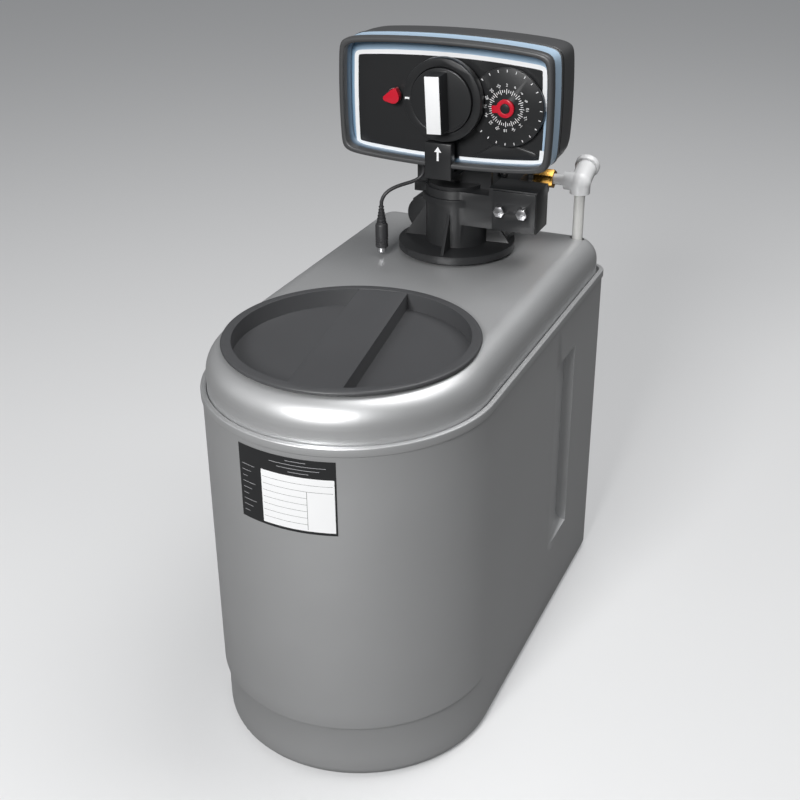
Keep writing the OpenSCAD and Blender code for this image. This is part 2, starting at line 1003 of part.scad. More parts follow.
// Head: places along Y from the bezel's front to the back shell
head_y = tank_y - head_fwd;
head_z = valve_top + head_lift;
head_mid = head_z + head_h / 2;
panel_y = head_y + panel_drop;
ledge_y = panel_y + panel_t;
head_bow = [0.02, 0.09];
bezel_ledge_t = 2;
bezel_ledge_w = 4.5;
gear_y = ledge_y + 5;
gear_t = 4.5;
plate_y = head_y + bezel_d + 0.5;
plate_thick = 3;
shell_y = plate_y + 2.5;
knob_z = head_mid + knob_up;
dial_r = dial_d / 2;
dial_t = 8.5;
knob_r = knob_d / 2;
shaft_r = 5;
wheel_r = wheel_d / 2;
wheel_y = head_y + dial_t + 2;
wheel_t = 3;
wheel_z = head_mid + 0.5;
wheel_shaft_r = 4;
hub_r = wheel_off - wheel_r - 3;
pointer_t = 3;
strip_t = 0.6;
gear_gap = gear_m * (dial_teeth + pinion_teeth) / 2;
button_x = -sqrt(gear_gap * gear_gap - button_drop * button_drop);
button_z = knob_z - button_drop;
button_stem_r = 5;
pinion_shaft_r = 3;
crank_r = 20;
crank_y = plate_y + plate_thick + 1;
screw_r = 2;
foot_screw = [30, 28];
post_x = head_w / 2 - bezel_t - bezel_ledge_w - 2;
post_z = 26;
post_r = 4.5;
stay = [26, 21];
stay_r = 4;
tab_w = 24;
tab_x = -3;
tab_t = 8;
tab_foot = 6;

// Outline with bowed edges and soft corners
function squircle(a, b, n = 16, steps = 80) = [
  for (i = [0 : steps - 1])
    let (
      c = cos(360 * i / steps),
      s = sin(360 * i / steps),
      u = sign(c) * sqrt(abs(c)),
      w = sign(s) * sqrt(abs(s)),
      k = pow(pow(abs(u), n) + pow(abs(w), n), -1 / n)
    )
      [a * k * u * (1 - head_bow.x * pow(k * w, 2)), b * k * w * (1 - head_bow.y * pow(k * u, 2))]
];

module head_outline(inset) {
  translate([0, head_mid])
    polygon(squircle(head_w / 2 - inset, head_h / 2 - inset));
}

module head_bezel() {
  color("#3a3d40")
    difference() {
      union() {
        difference() {
          slab_y(head_y, bezel_d)
            head_outline(0);
          slab_y(head_y - 1, ledge_y - head_y + 1)
            head_outline(bezel_t);
          slab_y(head_y, bezel_d + 1)
            head_outline(bezel_t + bezel_ledge_w);
          slab_y(ledge_y + bezel_ledge_t, bezel_d)
            head_outline(bezel_t);
        }
        for (x = [-post_x, post_x], z = [-post_z, post_z])
          rod_y(x, ledge_y, head_mid + z, post_r, plate_y - ledge_y);
      }
      for (x = [-post_x, post_x], z = [-post_z, post_z])
        rod_y(x, ledge_y + 2, head_mid + z, screw_r + fit_gap, bezel_d);
      translate([tab_x - tab_w / 2 - 0.5, head_y - 1, head_z - 1])
        cube([tab_w + 1, tab_t + 3, bezel_t + 3]);
      translate([lead_route[0].x, lead_route[0].y, head_z - 1])
        cylinder(r = gland_r + fit_gap, h = bezel_t + 2);
    }
}

module face_panel() {
  color("#17191b")
    difference() {
      slab_y(panel_y, panel_t)
        head_outline(bezel_t + 0.4);
      rod_y(0, panel_y - 1, knob_z, hub_r + 1, panel_t + 2);
      rod_y(wheel_off, panel_y - 1, wheel_z, wheel_shaft_r + 1, panel_t + 2);
      rod_y(button_x, panel_y - 1, button_z, button_stem_r + run_gap, panel_t + 2);
    }
}

// Slices of the back shell: distance behind its front edge, and how far the outline has drawn in
shell_slices = [[0, 0.5], [0.53, 2], [0.79, 6], [0.93, 13], [1, 24]];

module shell_shape(grow, depth) {
  hull()
    for (s = shell_slices)
      slab_y(shell_y + s[0] * depth - eps, eps)
        head_outline(s[1] + grow);
}

module back_shell() {
  color("#3a3d40")
    difference() {
      shell_shape(0, shell_d);
      shell_shape(shell_t, shell_d - shell_t);
      slab_y(shell_y - 2, 3)
        head_outline(shell_t + 0.6);
      translate([-deck.x - 2, shell_y - 1, head_z - 1])
        cube([2 * deck.x + 4, deck.y + 14, 16]);
      for (side = [-1, 1])
        rod_y(side * stay.x, shell_y, head_mid - stay.y, screw_r + fit_gap, 2 * shell_d);
    }
}

module drive_plate() {
  neck_w = 2 * foot_screw.x + 8;
  color("gray")
    difference() {
      union() {
        slab_y(plate_y, plate_thick)
          head_outline(bezel_t + 4);
        translate([-neck_w / 2, plate_y, valve_top])
          cube([neck_w, plate_thick, head_mid - valve_top]);
        translate([-neck_w / 2, plate_y, valve_top])
          cube([neck_w, tank_y + deck.y - plate_y, retainer_t]);
        for (side = [-1, 1])
          rod_y(side * stay.x, plate_y, head_mid - stay.y, stay_r, shell_y + shell_d - shell_t - plate_y);
      }
      translate([0, tank_y, valve_top - 1])
        cylinder(r = retainer_r + 0.5, h = retainer_t + 2);
      rod_y(0, plate_y - 1, knob_z, shaft_r + run_gap, plate_thick + 2);
      rod_y(wheel_off, plate_y - 1, wheel_z, wheel_shaft_r + run_gap, plate_thick + 2);
      rod_y(button_x, plate_y - 1, button_z, pinion_shaft_r + run_gap, plate_thick + 2);
      for (x = [-post_x, post_x], z = [-post_z, post_z])
        rod_y(x, plate_y - 1, head_mid + z, screw_r + fit_gap, plate_thick + 2);
      for (side = [-1, 1]) {
        translate([side * foot_screw.x, tank_y + foot_screw.y, valve_top - 1])
          cylinder(r = screw_r + fit_gap, h = retainer_t + 2);
        rod_y(side * stay.x, plate_y + 20, head_mid - stay.y, screw_r + fit_gap, 2 * shell_d);
      }
    }
}

module drive_motor() {
  y = plate_y + plate_thick;
  color("silver")
    difference() {
      rod_y(button_x, y, button_z, 24, 20);
      rod_y(button_x, y - 1, button_z, pinion_shaft_r + run_gap, 14);
    }
}

// Spur gear laid along +Y, with a tooth's middle at the angle start, turned from +X towards +Z
module gear(teeth, start, thick) {
  pitch_r = gear_m * teeth / 2;
  tip = pitch_r + 0.8 * gear_m;
  root = pitch_r - 1.1 * gear_m;
  step = 360 / teeth;
  flank = [[root, 0.33], [pitch_r, 0.22], [tip, 0.11]];
  slab_y(0, thick)
    polygon([
      for (i = [0 : teeth - 1], k = [0 : 5])
        let (f = flank[k < 3 ? k : 5 - k], a = start + step * (i + (k < 3 ? -f[1] : f[1])))
          f[0] * [cos(a), sin(a)]
    ]);
}

mesh_angle = atan2(button_z - knob_z, button_x);

module drive_pinion() {
  color("whitesmoke") {
    translate([button_x, gear_y, button_z])
      gear(pinion_teeth, mesh_angle + 180 + 180 / pinion_teeth, gear_t);
    rod_y(button_x, gear_y, button_z, pinion_shaft_r, plate_y + plate_thick + 12 - gear_y);
  }
}

module day_dial() {
  color("#232527")
    difference() {
      union() {
        rod_y(0, head_y, knob_z, dial_r, dial_t);
        rod_y(0, head_y + 1, knob_z, hub_r, gear_y + gear_t - head_y - 1);
        translate([0, gear_y, knob_z])
          gear(dial_teeth, mesh_angle, gear_t);
      }
      rod_y(0, head_y - 1, knob_z, knob_r + 0.5, 1 + dial_t / 2);
      rod_y(0, head_y - 1, knob_z, shaft_r + run_gap, bezel_d);
    }
}

knob_back = head_y + dial_t / 2 - 0.5;
knob_front = head_y - 2;

module program_knob() {
  color("#17191b") {
    rod_y(0, knob_front, knob_z, knob_r, knob_back - knob_front);
    rod_y(0, knob_front, knob_z, shaft_r, crank_y - knob_front);
    translate([0, knob_front - bar_h, knob_z])
      rotate([0, -knob_turn, 0])
        translate([-bar_w / 2, 0, -bar_l / 2])
          cube([bar_w, bar_h + 1, bar_l]);
  }
}

module knob_strip() {
  color("white")
    translate([0, knob_front - bar_h - strip_t, knob_z])
      rotate([0, -knob_turn, 0])
        translate([-bar_w / 2 + 0.3, 0, 0.5 - bar_l / 2])
          cube([bar_w - 0.6, strip_t, bar_l - 1]);
}

module crank_disc() {
  color("whitesmoke") {
    rod_y(0, crank_y, knob_z, crank_r, 5);
    rod_y(0, crank_y + 4, knob_z - crank_r / 2, 2.5, 6);
  }
}

module set_button() {
  head_t = 6;
  color("red") {
    slab_y(panel_y - button_travel - head_t - 0.3, head_t)
      hull() {
        translate([button_x + 1.5, button_z])
          circle(5.5, $fn = 32);
        translate([button_x - 5, button_z - 1.5])
          circle(2.5, $fn = 32);
        translate([button_x + 3, button_z + 6])
          circle(1.5, $fn = 32);
      }
    rod_y(button_x, panel_y - button_travel - 1, button_z, button_stem_r, button_travel + panel_t + 2);
  }
}

module button_spring() {
  color("silver")
    translate([button_x, panel_y, button_z])
      rotate([90, 0, 0])
        coil(button_stem_r + 0.9, 0.7, button_travel + 0.3, 2);
}

module meter_wheel() {
  color("#17191b") {
    rod_y(wheel_off, wheel_y, wheel_z, wheel_r, wheel_t);
    rod_y(wheel_off, wheel_y - pointer_t - 0.6, wheel_z, wheel_shaft_r,
      plate_y + plate_thick + 1 - wheel_y + pointer_t + 0.6);
  }
}

module capacity_pointer() {
  color("red")
    difference() {
      union() {
        rod_y(wheel_off, wheel_y - pointer_t - 0.3, wheel_z, pointer_d / 2, pointer_t);
        translate([wheel_off, wheel_y - pointer_t - 0.3, wheel_z])
          rotate([0, -8, 0])
            translate([-pointer_d / 2 - 4, 0, -3])
              cube([pointer_d / 2, pointer_t, 6]);
      }
      rod_y(wheel_off, wheel_y - 2 * pointer_t - 1, wheel_z, wheel_shaft_r + run_gap, 4 * pointer_t);
    }
}

module time_tab() {
  top = knob_z - dial_r - 1.5;
  low = head_z - tab_foot - 4;
  color("#17191b") {
    translate([tab_x - tab_w / 2, head_y, low])
      cube([tab_w, tab_t, top - low]);
    translate([tab_x - tab_w / 2, head_y, low])
      cube([tab_w, plate_y - head_y, tab_foot]);
  }
}

module plate_screws() {
  color("silver") {
    for (x = [-post_x, post_x], z = [-post_z, post_z]) {
      rod_y(x, plate_y - 6, head_mid + z, screw_r, 6 + plate_thick);
      rod_y(x, plate_y + plate_thick, head_mid + z, 1.8 * screw_r, 2);
    }
    for (side = [-1, 1])
      translate([side * foot_screw.x, tank_y + foot_screw.y, valve_top - 6]) {
        cylinder(r = screw_r, h = 6 + retainer_t);
        translate([0, 0, 6 + retainer_t])
          cylinder(r = 1.8 * screw_r, h = 2.5);
      }
  }
}

module head_screws() {
  rear = shell_y + shell_d;
  color("silver")
    for (side = [-1, 1]) {
      rod_y(side * stay.x, rear - 20, head_mid - stay.y, screw_r, 20);
      rod_y(side * stay.x, rear, head_mid - stay.y, 1.8 * screw_r, 2.5);
    }
}

// Power lead: its route from the gland under the bezel to the hanging connector
gland_r = 3.6;
lead_r = lead_d / 2;
lead_start = [-22, tank_y - 23, head_z - 4];
lead_bends = [
  [0, 0, 0], [0, 0, -3.1], [-0.2, -0.2, -5.9], [-1.2, -1, -8.5],
  [-3.1, -2.3, -10.7], [-5.8, -4.3, -12.4], [-8.9, -6.5, -13.7], [-12.2, -8.9, -14.6],
  [-15.6, -11.3, -15.6], [-19, -13.8, -16.8], [-22.1, -16.1, -18.3], [-25, -18.2, -20.3],
  [-27.4, -19.9, -22.9], [-29, -21.1, -26], [-29.9, -21.8, -29.3], [-30, -22, -33]
];
lead_route = [for (p = lead_bends) lead_start + p];
lead_end = lead_route[len(lead_route) - 1];
plug_foot = cover_z + 4;

function unit(v) = v / norm(v);

// Closed tube swept along a path, its section turned from a fixed direction
module tube(path, r, side_dir, sides) {
  n = len(path);
  points = [
    for (i = [0 : n - 1])
      let (
        t = unit(path[min(i + 1, n - 1)] - path[max(i - 1, 0)]),
        u = unit(cross(side_dir, t)),
        v = cross(t, u)
      )
        for (k = [0 : sides - 1])
          path[i] + r * (cos(360 * k / sides) * u + sin(360 * k / sides) * v)
  ];
  faces = concat(
    [[for (k = [0 : sides - 1]) k]],
    [[for (k = [0 : sides - 1]) n * sides - 1 - k]],
    [
      for (i = [0 : n - 2], k = [0 : sides - 1])
        let (a = i * sides + k, b = i * sides + (k + 1) % sides)
          [a, a + sides, b + sides, b]
    ]
  );
  polyhedron(points, faces, convexity = 4);
}

module lead_gland() {
  color("black")
    translate([lead_route[0].x, lead_route[0].y, 0]) {
      translate([0, 0, lead_route[0].z])
        cylinder(r = gland_r, h = head_z + bezel_t - lead_route[0].z);
      translate([0, 0, head_z - 3])
        cylinder(r = gland_r + 1.6, h = 2.8);
    }
}

module power_lead() {
  color("black")
    tube(lead_route, lead_r, [0.6, -0.8, 0], 8);
}

module lead_connector() {
  plug_r = plug_d / 2;
  tip = 4;
  boot = 10;
  color("black")
    translate([lead_end.x, lead_end.y, 0])
      difference() {
        rotate_extrude()
          polygon([
            [0, plug_foot],
            [plug_r - 1.5, plug_foot],
            [plug_r - 1.5, plug_foot + tip],
            [plug_r, plug_foot + tip + 1],
            [plug_r, lead_end.z - boot - 6],
            [lead_r + 1.6, lead_end.z - boot],
            [lead_r + 0.8, lead_end.z],
            [0, lead_end.z]
          ]);
        translate([0, 0, plug_foot - 1])
          cylinder(r = 2.6, h = 9);
      }
}

cabinet_body();
cabinet_cover();
salt_lid();
rating_plate();
overflow_fitting();
overflow_nut();
overflow_seal();
resin_tank();
tank_boot();
riser_tube();
lower_strainer();
upper_strainer();
resin_bed();
neck_seal();
brine_well();
well_cap();
air_check();
float_rod();
brine_float();
brine_tube();
brine_tee();
tee_collar();
brass_fitting();
valve_body();
end_plug();
plug_retainer();
seal_stack();
spacer_stack();
piston();
piston_rod();
injector_cover();
injector_nozzle();
injector_screws();
brine_stem();
brine_spring();
inlet_fitting();
outlet_fitting();
port_clips();
drain_fitting();
head_bezel();
face_panel();
back_shell();
drive_plate();
drive_motor();
drive_pinion();
day_dial();
program_knob();
knob_strip();
crank_disc();
set_button();
button_spring();
meter_wheel();
capacity_pointer();
time_tab();
plate_screws();
head_screws();
lead_gland();
power_lead();
lead_connector();
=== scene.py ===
"""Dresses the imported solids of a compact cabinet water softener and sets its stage."""

import math

import bmesh
import bpy
from bpy.props import FloatProperty, FloatVectorProperty, PointerProperty
from mathutils import Matrix, Vector


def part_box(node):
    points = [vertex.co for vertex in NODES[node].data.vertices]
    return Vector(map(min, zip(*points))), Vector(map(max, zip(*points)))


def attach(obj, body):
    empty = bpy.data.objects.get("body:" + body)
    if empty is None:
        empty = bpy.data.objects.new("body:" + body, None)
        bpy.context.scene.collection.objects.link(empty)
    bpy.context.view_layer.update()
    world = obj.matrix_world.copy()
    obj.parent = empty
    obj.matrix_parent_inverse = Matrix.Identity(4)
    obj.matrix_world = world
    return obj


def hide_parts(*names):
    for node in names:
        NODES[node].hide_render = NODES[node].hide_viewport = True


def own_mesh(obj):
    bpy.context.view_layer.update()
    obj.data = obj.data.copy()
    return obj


bl_info = {
    "name": "Cabinet water softener",
    "version": (1, 0, 0),
    "blender": (4, 5, 0),
    "location": "View3D > Sidebar > Softener",
    "description": "Models the looks of a cabinet water softener round its packed solids",
    "category": "Add Mesh",
}

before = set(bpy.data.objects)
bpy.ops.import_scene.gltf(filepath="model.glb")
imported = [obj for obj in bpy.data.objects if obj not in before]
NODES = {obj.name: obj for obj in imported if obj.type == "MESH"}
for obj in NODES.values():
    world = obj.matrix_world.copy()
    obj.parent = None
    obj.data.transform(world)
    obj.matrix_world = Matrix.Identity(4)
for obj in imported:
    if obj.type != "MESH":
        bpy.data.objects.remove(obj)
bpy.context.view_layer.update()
MM = 0.001
FORWARD = Vector((0, -1, 0))


def box_mm(node):
    """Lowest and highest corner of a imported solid, in millimetres."""
    return tuple(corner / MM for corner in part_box(node))


LID_LOW, LID_HIGH = box_mm("salt_lid")
CAB_HIGH = box_mm("cabinet_body")[1]
BEZEL_LOW, BEZEL_HIGH = box_mm("head_bezel")
SHELL_LOW, SHELL_HIGH = box_mm("back_shell")
KNOB_LOW, KNOB_HIGH = box_mm("program_knob")
DIAL_LOW = box_mm("day_dial")[0]
WHEEL_LOW, WHEEL_HIGH = box_mm("meter_wheel")
PLATE_LOW, PLATE_HIGH = box_mm("rating_plate")
TAB_LOW, TAB_HIGH = box_mm("time_tab")
PLUG_LOW, PLUG_HIGH = box_mm("lead_connector")
PANEL_LOW = box_mm("face_panel")[0]
GLAND_LOW, GLAND_HIGH = box_mm("lead_gland")

LID_Y = (LID_LOW.y + LID_HIGH.y) / 2
BEAD_PROUD = 1.2
BEAD_H = 7.0
WALL_R = CAB_HIGH.x - BEAD_PROUD
RIM_Z = CAB_HIGH.z
REAR_Y = CAB_HIGH.y - BEAD_PROUD
HEAD_Y = BEZEL_LOW.y
HEAD_MID = (BEZEL_LOW.z + BEZEL_HIGH.z) / 2
HEAD_A = BEZEL_HIGH.x
HEAD_B = BEZEL_HIGH.z - HEAD_MID
KNOB_Z = (KNOB_LOW.z + KNOB_HIGH.z) / 2
WHEEL_X = (WHEEL_LOW.x + WHEEL_HIGH.x) / 2
WHEEL_Z = (WHEEL_LOW.z + WHEEL_HIGH.z) / 2
WHEEL_R = WHEEL_HIGH.x - WHEEL_X


def colour(name, text, value):
    """A colour property, linear, with alpha."""
    return FloatVectorProperty(name=name, description=text, subtype="COLOR", size=4, min=0, max=1,
                               default=(*value, 1.0))


def length(name, text, value):
    """A length property in metres."""
    return FloatProperty(name=name, description=text, unit="LENGTH", precision=5, default=value)


class SoftenerFinishes(bpy.types.PropertyGroup):
    """Colours of the softener's materials"""
    silver: colour("Cabinet silver", "Satin paint of the cabinet and its cover", (0.6, 0.605, 0.61))
    lid: colour("Lid grey", "Moulded plastic of the salt lid", (0.06, 0.061, 0.064))
    head: colour("Head grey", "Moulded plastic of the head's bezel and shell", (0.062, 0.063, 0.065))
    black: colour("Valve black", "Moulded plastic of the valve and the controls", (0.018, 0.0185, 0.0195))
    stripe: colour("Light blue", "Stripe round the bezel", (0.42, 0.56, 0.7))
    # Dark blue is painted shade: the recess's blue darkened towards the bezel's lip
    blue: colour("Dark blue", "Deep end of the panel's band", (0.035, 0.1, 0.18))
    # Mid blue is painted shade: the band's blue darkened at its outer edge, by the recess wall
    band: colour("Mid blue", "Outer edge of the panel's band", (0.1, 0.2, 0.31))
    white: colour("White", "Printed lines and white plastic", (0.88, 0.885, 0.89))
    red: colour("Red", "Button and pointer", (0.56, 0.01, 0.028))
    brass: colour("Brass", "Brine fitting", (0.58, 0.32, 0.075))
    tube: colour("Tube", "Pale plastic of the brine tube", (0.66, 0.66, 0.64))


class SoftenerStage(bpy.types.PropertyGroup):
    """Camera and light"""
    azimuth: FloatProperty(name="Azimuth", description="Camera's turn to the right of the front, in degrees",
                           default=23.535)
    elevation: FloatProperty(name="Elevation", description="Camera's tilt above level, in degrees",
                             default=27.34)
    roll: FloatProperty(name="Roll", description="Camera's roll, in degrees", default=-0.256)
    distance: length("Distance", "Camera's distance from its target", 1.075231)
    focal: FloatProperty(name="Lens", description="Focal length in millimetres on a 36 mm sensor",
                         default=56.926)
    power: FloatProperty(name="Power", description="Power that the lights share out", subtype="POWER",
                         default=24.0)


class SoftenerSizes(bpy.types.PropertyGroup):
    """Sizes that only the looks have"""
    print_height: length("Print height", "How far printed lines stand proud", 0.00012)
    line_width: length("Line width", "Width of the white line round the panel", 0.0036)


def finishes():
    return bpy.context.scene.softener_finishes


def sizes():
    return bpy.context.scene.softener_sizes


class Nodes:
    """A material's node tree, filled node by node."""

    def __init__(self, tree):
        self.tree = tree

    def add(self, kind, **values):
        node = self.tree.nodes.new(kind)
        for key, value in values.items():
            setattr(node, key, value)
        return node

    def link(self, source, target):
        self.tree.links.new(source, target)

    def math(self, operation, first, second=None, clamp=False):
        node = self.add("ShaderNodeMath", operation=operation, use_clamp=clamp)
        for socket, value in zip(node.inputs, (first, second)):
            if value is None:
                continue
            if isinstance(value, (int, float)):
                socket.default_value = value
            else:
                self.link(value, socket)
        return node.outputs[0]

    def mix(self, mask, first, second):
        """Mixes two colours, each a socket or a value, by a mask."""
        node = self.add("ShaderNodeMix", data_type="RGBA")
        self.link(mask, node.inputs["Factor"])
        for index, value in ((6, first), (7, second)):
            if isinstance(value, bpy.types.NodeSocket):
                self.link(value, node.inputs[index])
            else:
                node.inputs[index].default_value = tuple(value)
        return node.outputs[2]

    def along(self, axis):
        """The surface's place along an axis, in metres."""
        place = self.add("ShaderNodeTexCoord")
        split = self.add("ShaderNodeSeparateXYZ")
        self.link(place.outputs["Object"], split.inputs[0])
        return split.outputs[axis]

    def between(self, value, low, high):
        """Ramp of a value from 0 at low to 1 at high."""
        node = self.add("ShaderNodeMapRange")
        self.link(value, node.inputs["Value"])
        node.inputs["From Min"].default_value = low
        node.inputs["From Max"].default_value = high
        return node.outputs["Result"]


def grain_group():
    """Moulded grain: a colour factor, a roughness and a height that change over the surface."""
    found = bpy.data.node_groups.get("moulded_grain")
    if found:
        return found
    tree = bpy.data.node_groups.new("moulded_grain", "ShaderNodeTree")
    face = tree.interface
    for name, value in (("Scale", 900.0), ("Roughness", 0.45), ("Spread", 0.08), ("Shade", 0.12)):
        face.new_socket(name, in_out="INPUT", socket_type="NodeSocketFloat").default_value = value
    face.new_socket("Colour", in_out="INPUT", socket_type="NodeSocketColor")
    face.new_socket("Colour", in_out="OUTPUT", socket_type="NodeSocketColor")
    for name in ("Roughness", "Height"):
        face.new_socket(name, in_out="OUTPUT", socket_type="NodeSocketFloat")
    made = Nodes(tree)
    inside = made.add("NodeGroupInput")
    outside = made.add("NodeGroupOutput")
    place = made.add("ShaderNodeTexCoord")
    fine = made.add("ShaderNodeTexNoise")
    fine.inputs["Detail"].default_value = 3.0
    made.link(place.outputs["Object"], fine.inputs["Vector"])
    made.link(inside.outputs["Scale"], fine.inputs["Scale"])
    broad = made.add("ShaderNodeTexNoise")
    broad.inputs["Scale"].default_value = 14.0
    broad.inputs["Detail"].default_value = 4.0
    made.link(place.outputs["Object"], broad.inputs["Vector"])
    centred = made.math("SUBTRACT", broad.outputs["Fac"], 0.5)
    shade = made.math("ADD", made.math("MULTIPLY", centred, inside.outputs["Shade"]), 1.0)
    tint = made.add("ShaderNodeVectorMath", operation="SCALE")
    made.link(inside.outputs["Colour"], tint.inputs[0])
    made.link(shade, tint.inputs["Scale"])
    made.link(tint.outputs["Vector"], outside.inputs["Colour"])
    drift = made.math("MULTIPLY", centred, inside.outputs["Spread"])
    rough = made.math("ADD", drift, inside.outputs["Roughness"], clamp=True)
    made.link(rough, outside.inputs["Roughness"])
    made.link(fine.outputs["Fac"], outside.inputs["Height"])
    return tree


COAT_ROUGHNESS = 0.15
BUMP_STRENGTH = 0.6


def moulded(name, base, roughness=0.45, grain=900.0, bump=0.00004, spread=0.1, shade=0.12, metallic=0.0,
            coat=0.0, paint=None):
    """A moulded or metal finish with grain. paint(nodes, base) may put out another base colour."""
    made = bpy.data.materials.new(name)
    made.use_nodes = True
    nodes = Nodes(made.node_tree)
    shader = made.node_tree.nodes["Principled BSDF"]
    group = nodes.add("ShaderNodeGroup", node_tree=grain_group())
    relief = nodes.add("ShaderNodeBump")
    for node, values in (
            (shader, {"Metallic": metallic, "Coat Weight": coat, "Coat Roughness": COAT_ROUGHNESS}),
            (group, {"Scale": grain, "Roughness": roughness, "Spread": spread, "Shade": shade}),
            (relief, {"Distance": bump, "Strength": BUMP_STRENGTH})):
        for socket, value in values.items():
            node.inputs[socket].default_value = value
    if paint:
        nodes.link(paint(nodes, tuple(base)), group.inputs["Colour"])
    else:
        group.inputs["Colour"].default_value = tuple(base)
    nodes.link(group.outputs["Colour"], shader.inputs["Base Color"])
    nodes.link(group.outputs["Roughness"], shader.inputs["Roughness"])
    nodes.link(group.outputs["Height"], relief.inputs["Height"])
    nodes.link(relief.outputs["Normal"], shader.inputs["Normal"])
    made.diffuse_color = tuple(base)
    return made


def recess_blue(nodes, base):
    """Blue of the bezel's recess, with painted shade: light at its base and painted darker towards the lip.
    """
    depth = nodes.between(nodes.along("Y"), (HEAD_Y + 9.0) * MM, (HEAD_Y + 16.0) * MM)
    deep = nodes.between(nodes.along("Y"), (HEAD_Y + 7.5) * MM, (HEAD_Y + 8.5) * MM)
    return nodes.mix(deep, tuple(finishes().head), nodes.mix(depth, tuple(finishes().blue), base))


def band_blue(nodes, base):
    """Blue of the panel's band, with painted shade: darker at its outer edge and light next to the white
    line.
    """
    edge = nodes.add("ShaderNodeAttribute", attribute_name="inward")
    return nodes.mix(edge.outputs["Fac"], tuple(finishes().band), base)


FINISH_VALUES = {
    "silver_satin": ("silver", dict(roughness=0.44, grain=2600, bump=0.00004, metallic=0.72, shade=0.05)),
    "lid_grain": ("lid", dict(roughness=0.44, grain=1300, bump=0.00014)),
    "head_grain": ("head", dict(roughness=0.4, grain=1400, bump=0.00004)),
    "valve_black": ("black", dict(roughness=0.36, grain=700, bump=0.00005)),
    "control_black": ("black", dict(roughness=0.32, grain=1400, bump=0.00002)),
    "white_gloss": ("white", dict(roughness=0.22, grain=600, bump=0.00001, shade=0.04, coat=0.2)),
    "print_white": ("white", dict(roughness=0.5, grain=3000, bump=0.00001, shade=0.05)),
    "stripe_blue": ("stripe", dict(roughness=0.35, grain=1800, bump=0.00001, shade=0.06)),
    # The recess's and the band's blues carry painted shade, darker towards the lip and at the band's outer
    # edge
    "recess_blue": ("stripe", dict(roughness=0.4, grain=1800, bump=0.00001, shade=0.06, paint=recess_blue)),
    "band_blue": ("stripe", dict(roughness=0.4, grain=1800, bump=0.00001, shade=0.06, paint=band_blue)),
    "tube_pale": ("tube", dict(roughness=0.3, grain=500, bump=0.00001, shade=0.06)),
    "red_gloss": ("red", dict(roughness=0.28, grain=700, bump=0.00001, shade=0.1, coat=0.3)),
    "brass_turned": ("brass", dict(roughness=0.3, grain=1200, bump=0.00002, metallic=1.0, spread=0.2)),
    "grey_plastic": ((0.2, 0.2, 0.21, 1), dict(roughness=0.45)),
    "steel_plated": ((0.55, 0.55, 0.56, 1),
                     dict(roughness=0.28, grain=1800, bump=0.00002, metallic=1.0, spread=0.2)),
    "rubber_black": ((0.03, 0.03, 0.032, 1), dict(roughness=0.45, grain=900, bump=0.00003)),
    "tank_wound": ((0.05, 0.12, 0.2, 1), dict(roughness=0.4, grain=260, bump=0.0002, shade=0.3)),
    "resin_amber": ((0.32, 0.14, 0.02, 1), dict(roughness=0.35, grain=900, bump=0.0004, shade=0.4)),
}


def finish(name):
    """The named finish, made on first use."""
    found = bpy.data.materials.get(name)
    if found:
        return found
    base, values = FINISH_VALUES[name]
    if isinstance(base, str):
        base = getattr(finishes(), base)
    return moulded(name, base, **values)


def deselect():
    """Leaves edit mode with nothing selected."""
    if bpy.context.mode != "OBJECT":
        bpy.ops.object.mode_set(mode="OBJECT")
    bpy.ops.object.select_all(action="DESELECT")


def only(piece):
    """Makes a piece the one that operators act on."""
    deselect()
    piece.select_set(True)
    bpy.context.view_layer.objects.active = piece


def apply(piece, kind, **values):
    """Adds a modifier with these values and applies it."""
    only(piece)
    bpy.ops.object.modifier_add(type=kind)
    modifier = piece.modifiers[-1]
    for key, value in values.items():
        setattr(modifier, key, value)
    bpy.ops.object.modifier_apply(modifier=modifier.name)


def round_edges(piece, width, segments=2, angle=32.0, smooth=40.0):
    """Rounds a piece's sharp edges, width in millimetres, and smooths it."""
    apply(piece, "BEVEL", width=width * MM, segments=segments, limit_method="ANGLE",
          angle_limit=math.radians(angle), use_clamp_overlap=True)
    only(piece)
    bpy.ops.object.shade_smooth_by_angle(angle=math.radians(smooth))
    return piece


def loft(name, rings, caps=(True, True), smooth=35.0):
    """A skin drawn through rings of places in millimetres, each extruded from the last."""
    deselect()
    count = len(rings[0])
    bpy.ops.mesh.primitive_circle_add(vertices=count, fill_type="NOTHING")
    made = bpy.context.object
    made.name = made.data.name = name
    bpy.ops.object.mode_set(mode="EDIT")
    bpy.ops.mesh.select_mode(type="EDGE")
    shape = bmesh.from_edit_mesh(made.data)
    shape.verts.ensure_lookup_table()
    for vertex, spot in zip(shape.verts, rings[0]):
        vertex.co = spot * MM
    bpy.ops.mesh.select_all(action="SELECT")
    if caps[0]:
        bpy.ops.mesh.edge_face_add()
    for before, after in zip(rings, rings[1:]):
        bpy.ops.mesh.extrude_edges_move()
        shape = bmesh.from_edit_mesh(made.data)
        shape.verts.ensure_lookup_table()
        fresh = {tuple(vertex.co): vertex for vertex in shape.verts[-count:]}
        for old, spot in zip(before, after):
            fresh[tuple(old * MM)].co = spot * MM
    if caps[1]:
        bpy.ops.mesh.edge_face_add()
    bpy.ops.mesh.select_all(action="SELECT")
    bpy.ops.mesh.remove_doubles(threshold=1e-6)
    bpy.ops.mesh.normals_make_consistent(inside=False)
    bpy.ops.object.mode_set(mode="OBJECT")
    bpy.ops.object.shade_smooth_by_angle(angle=math.radians(smooth))
    return made


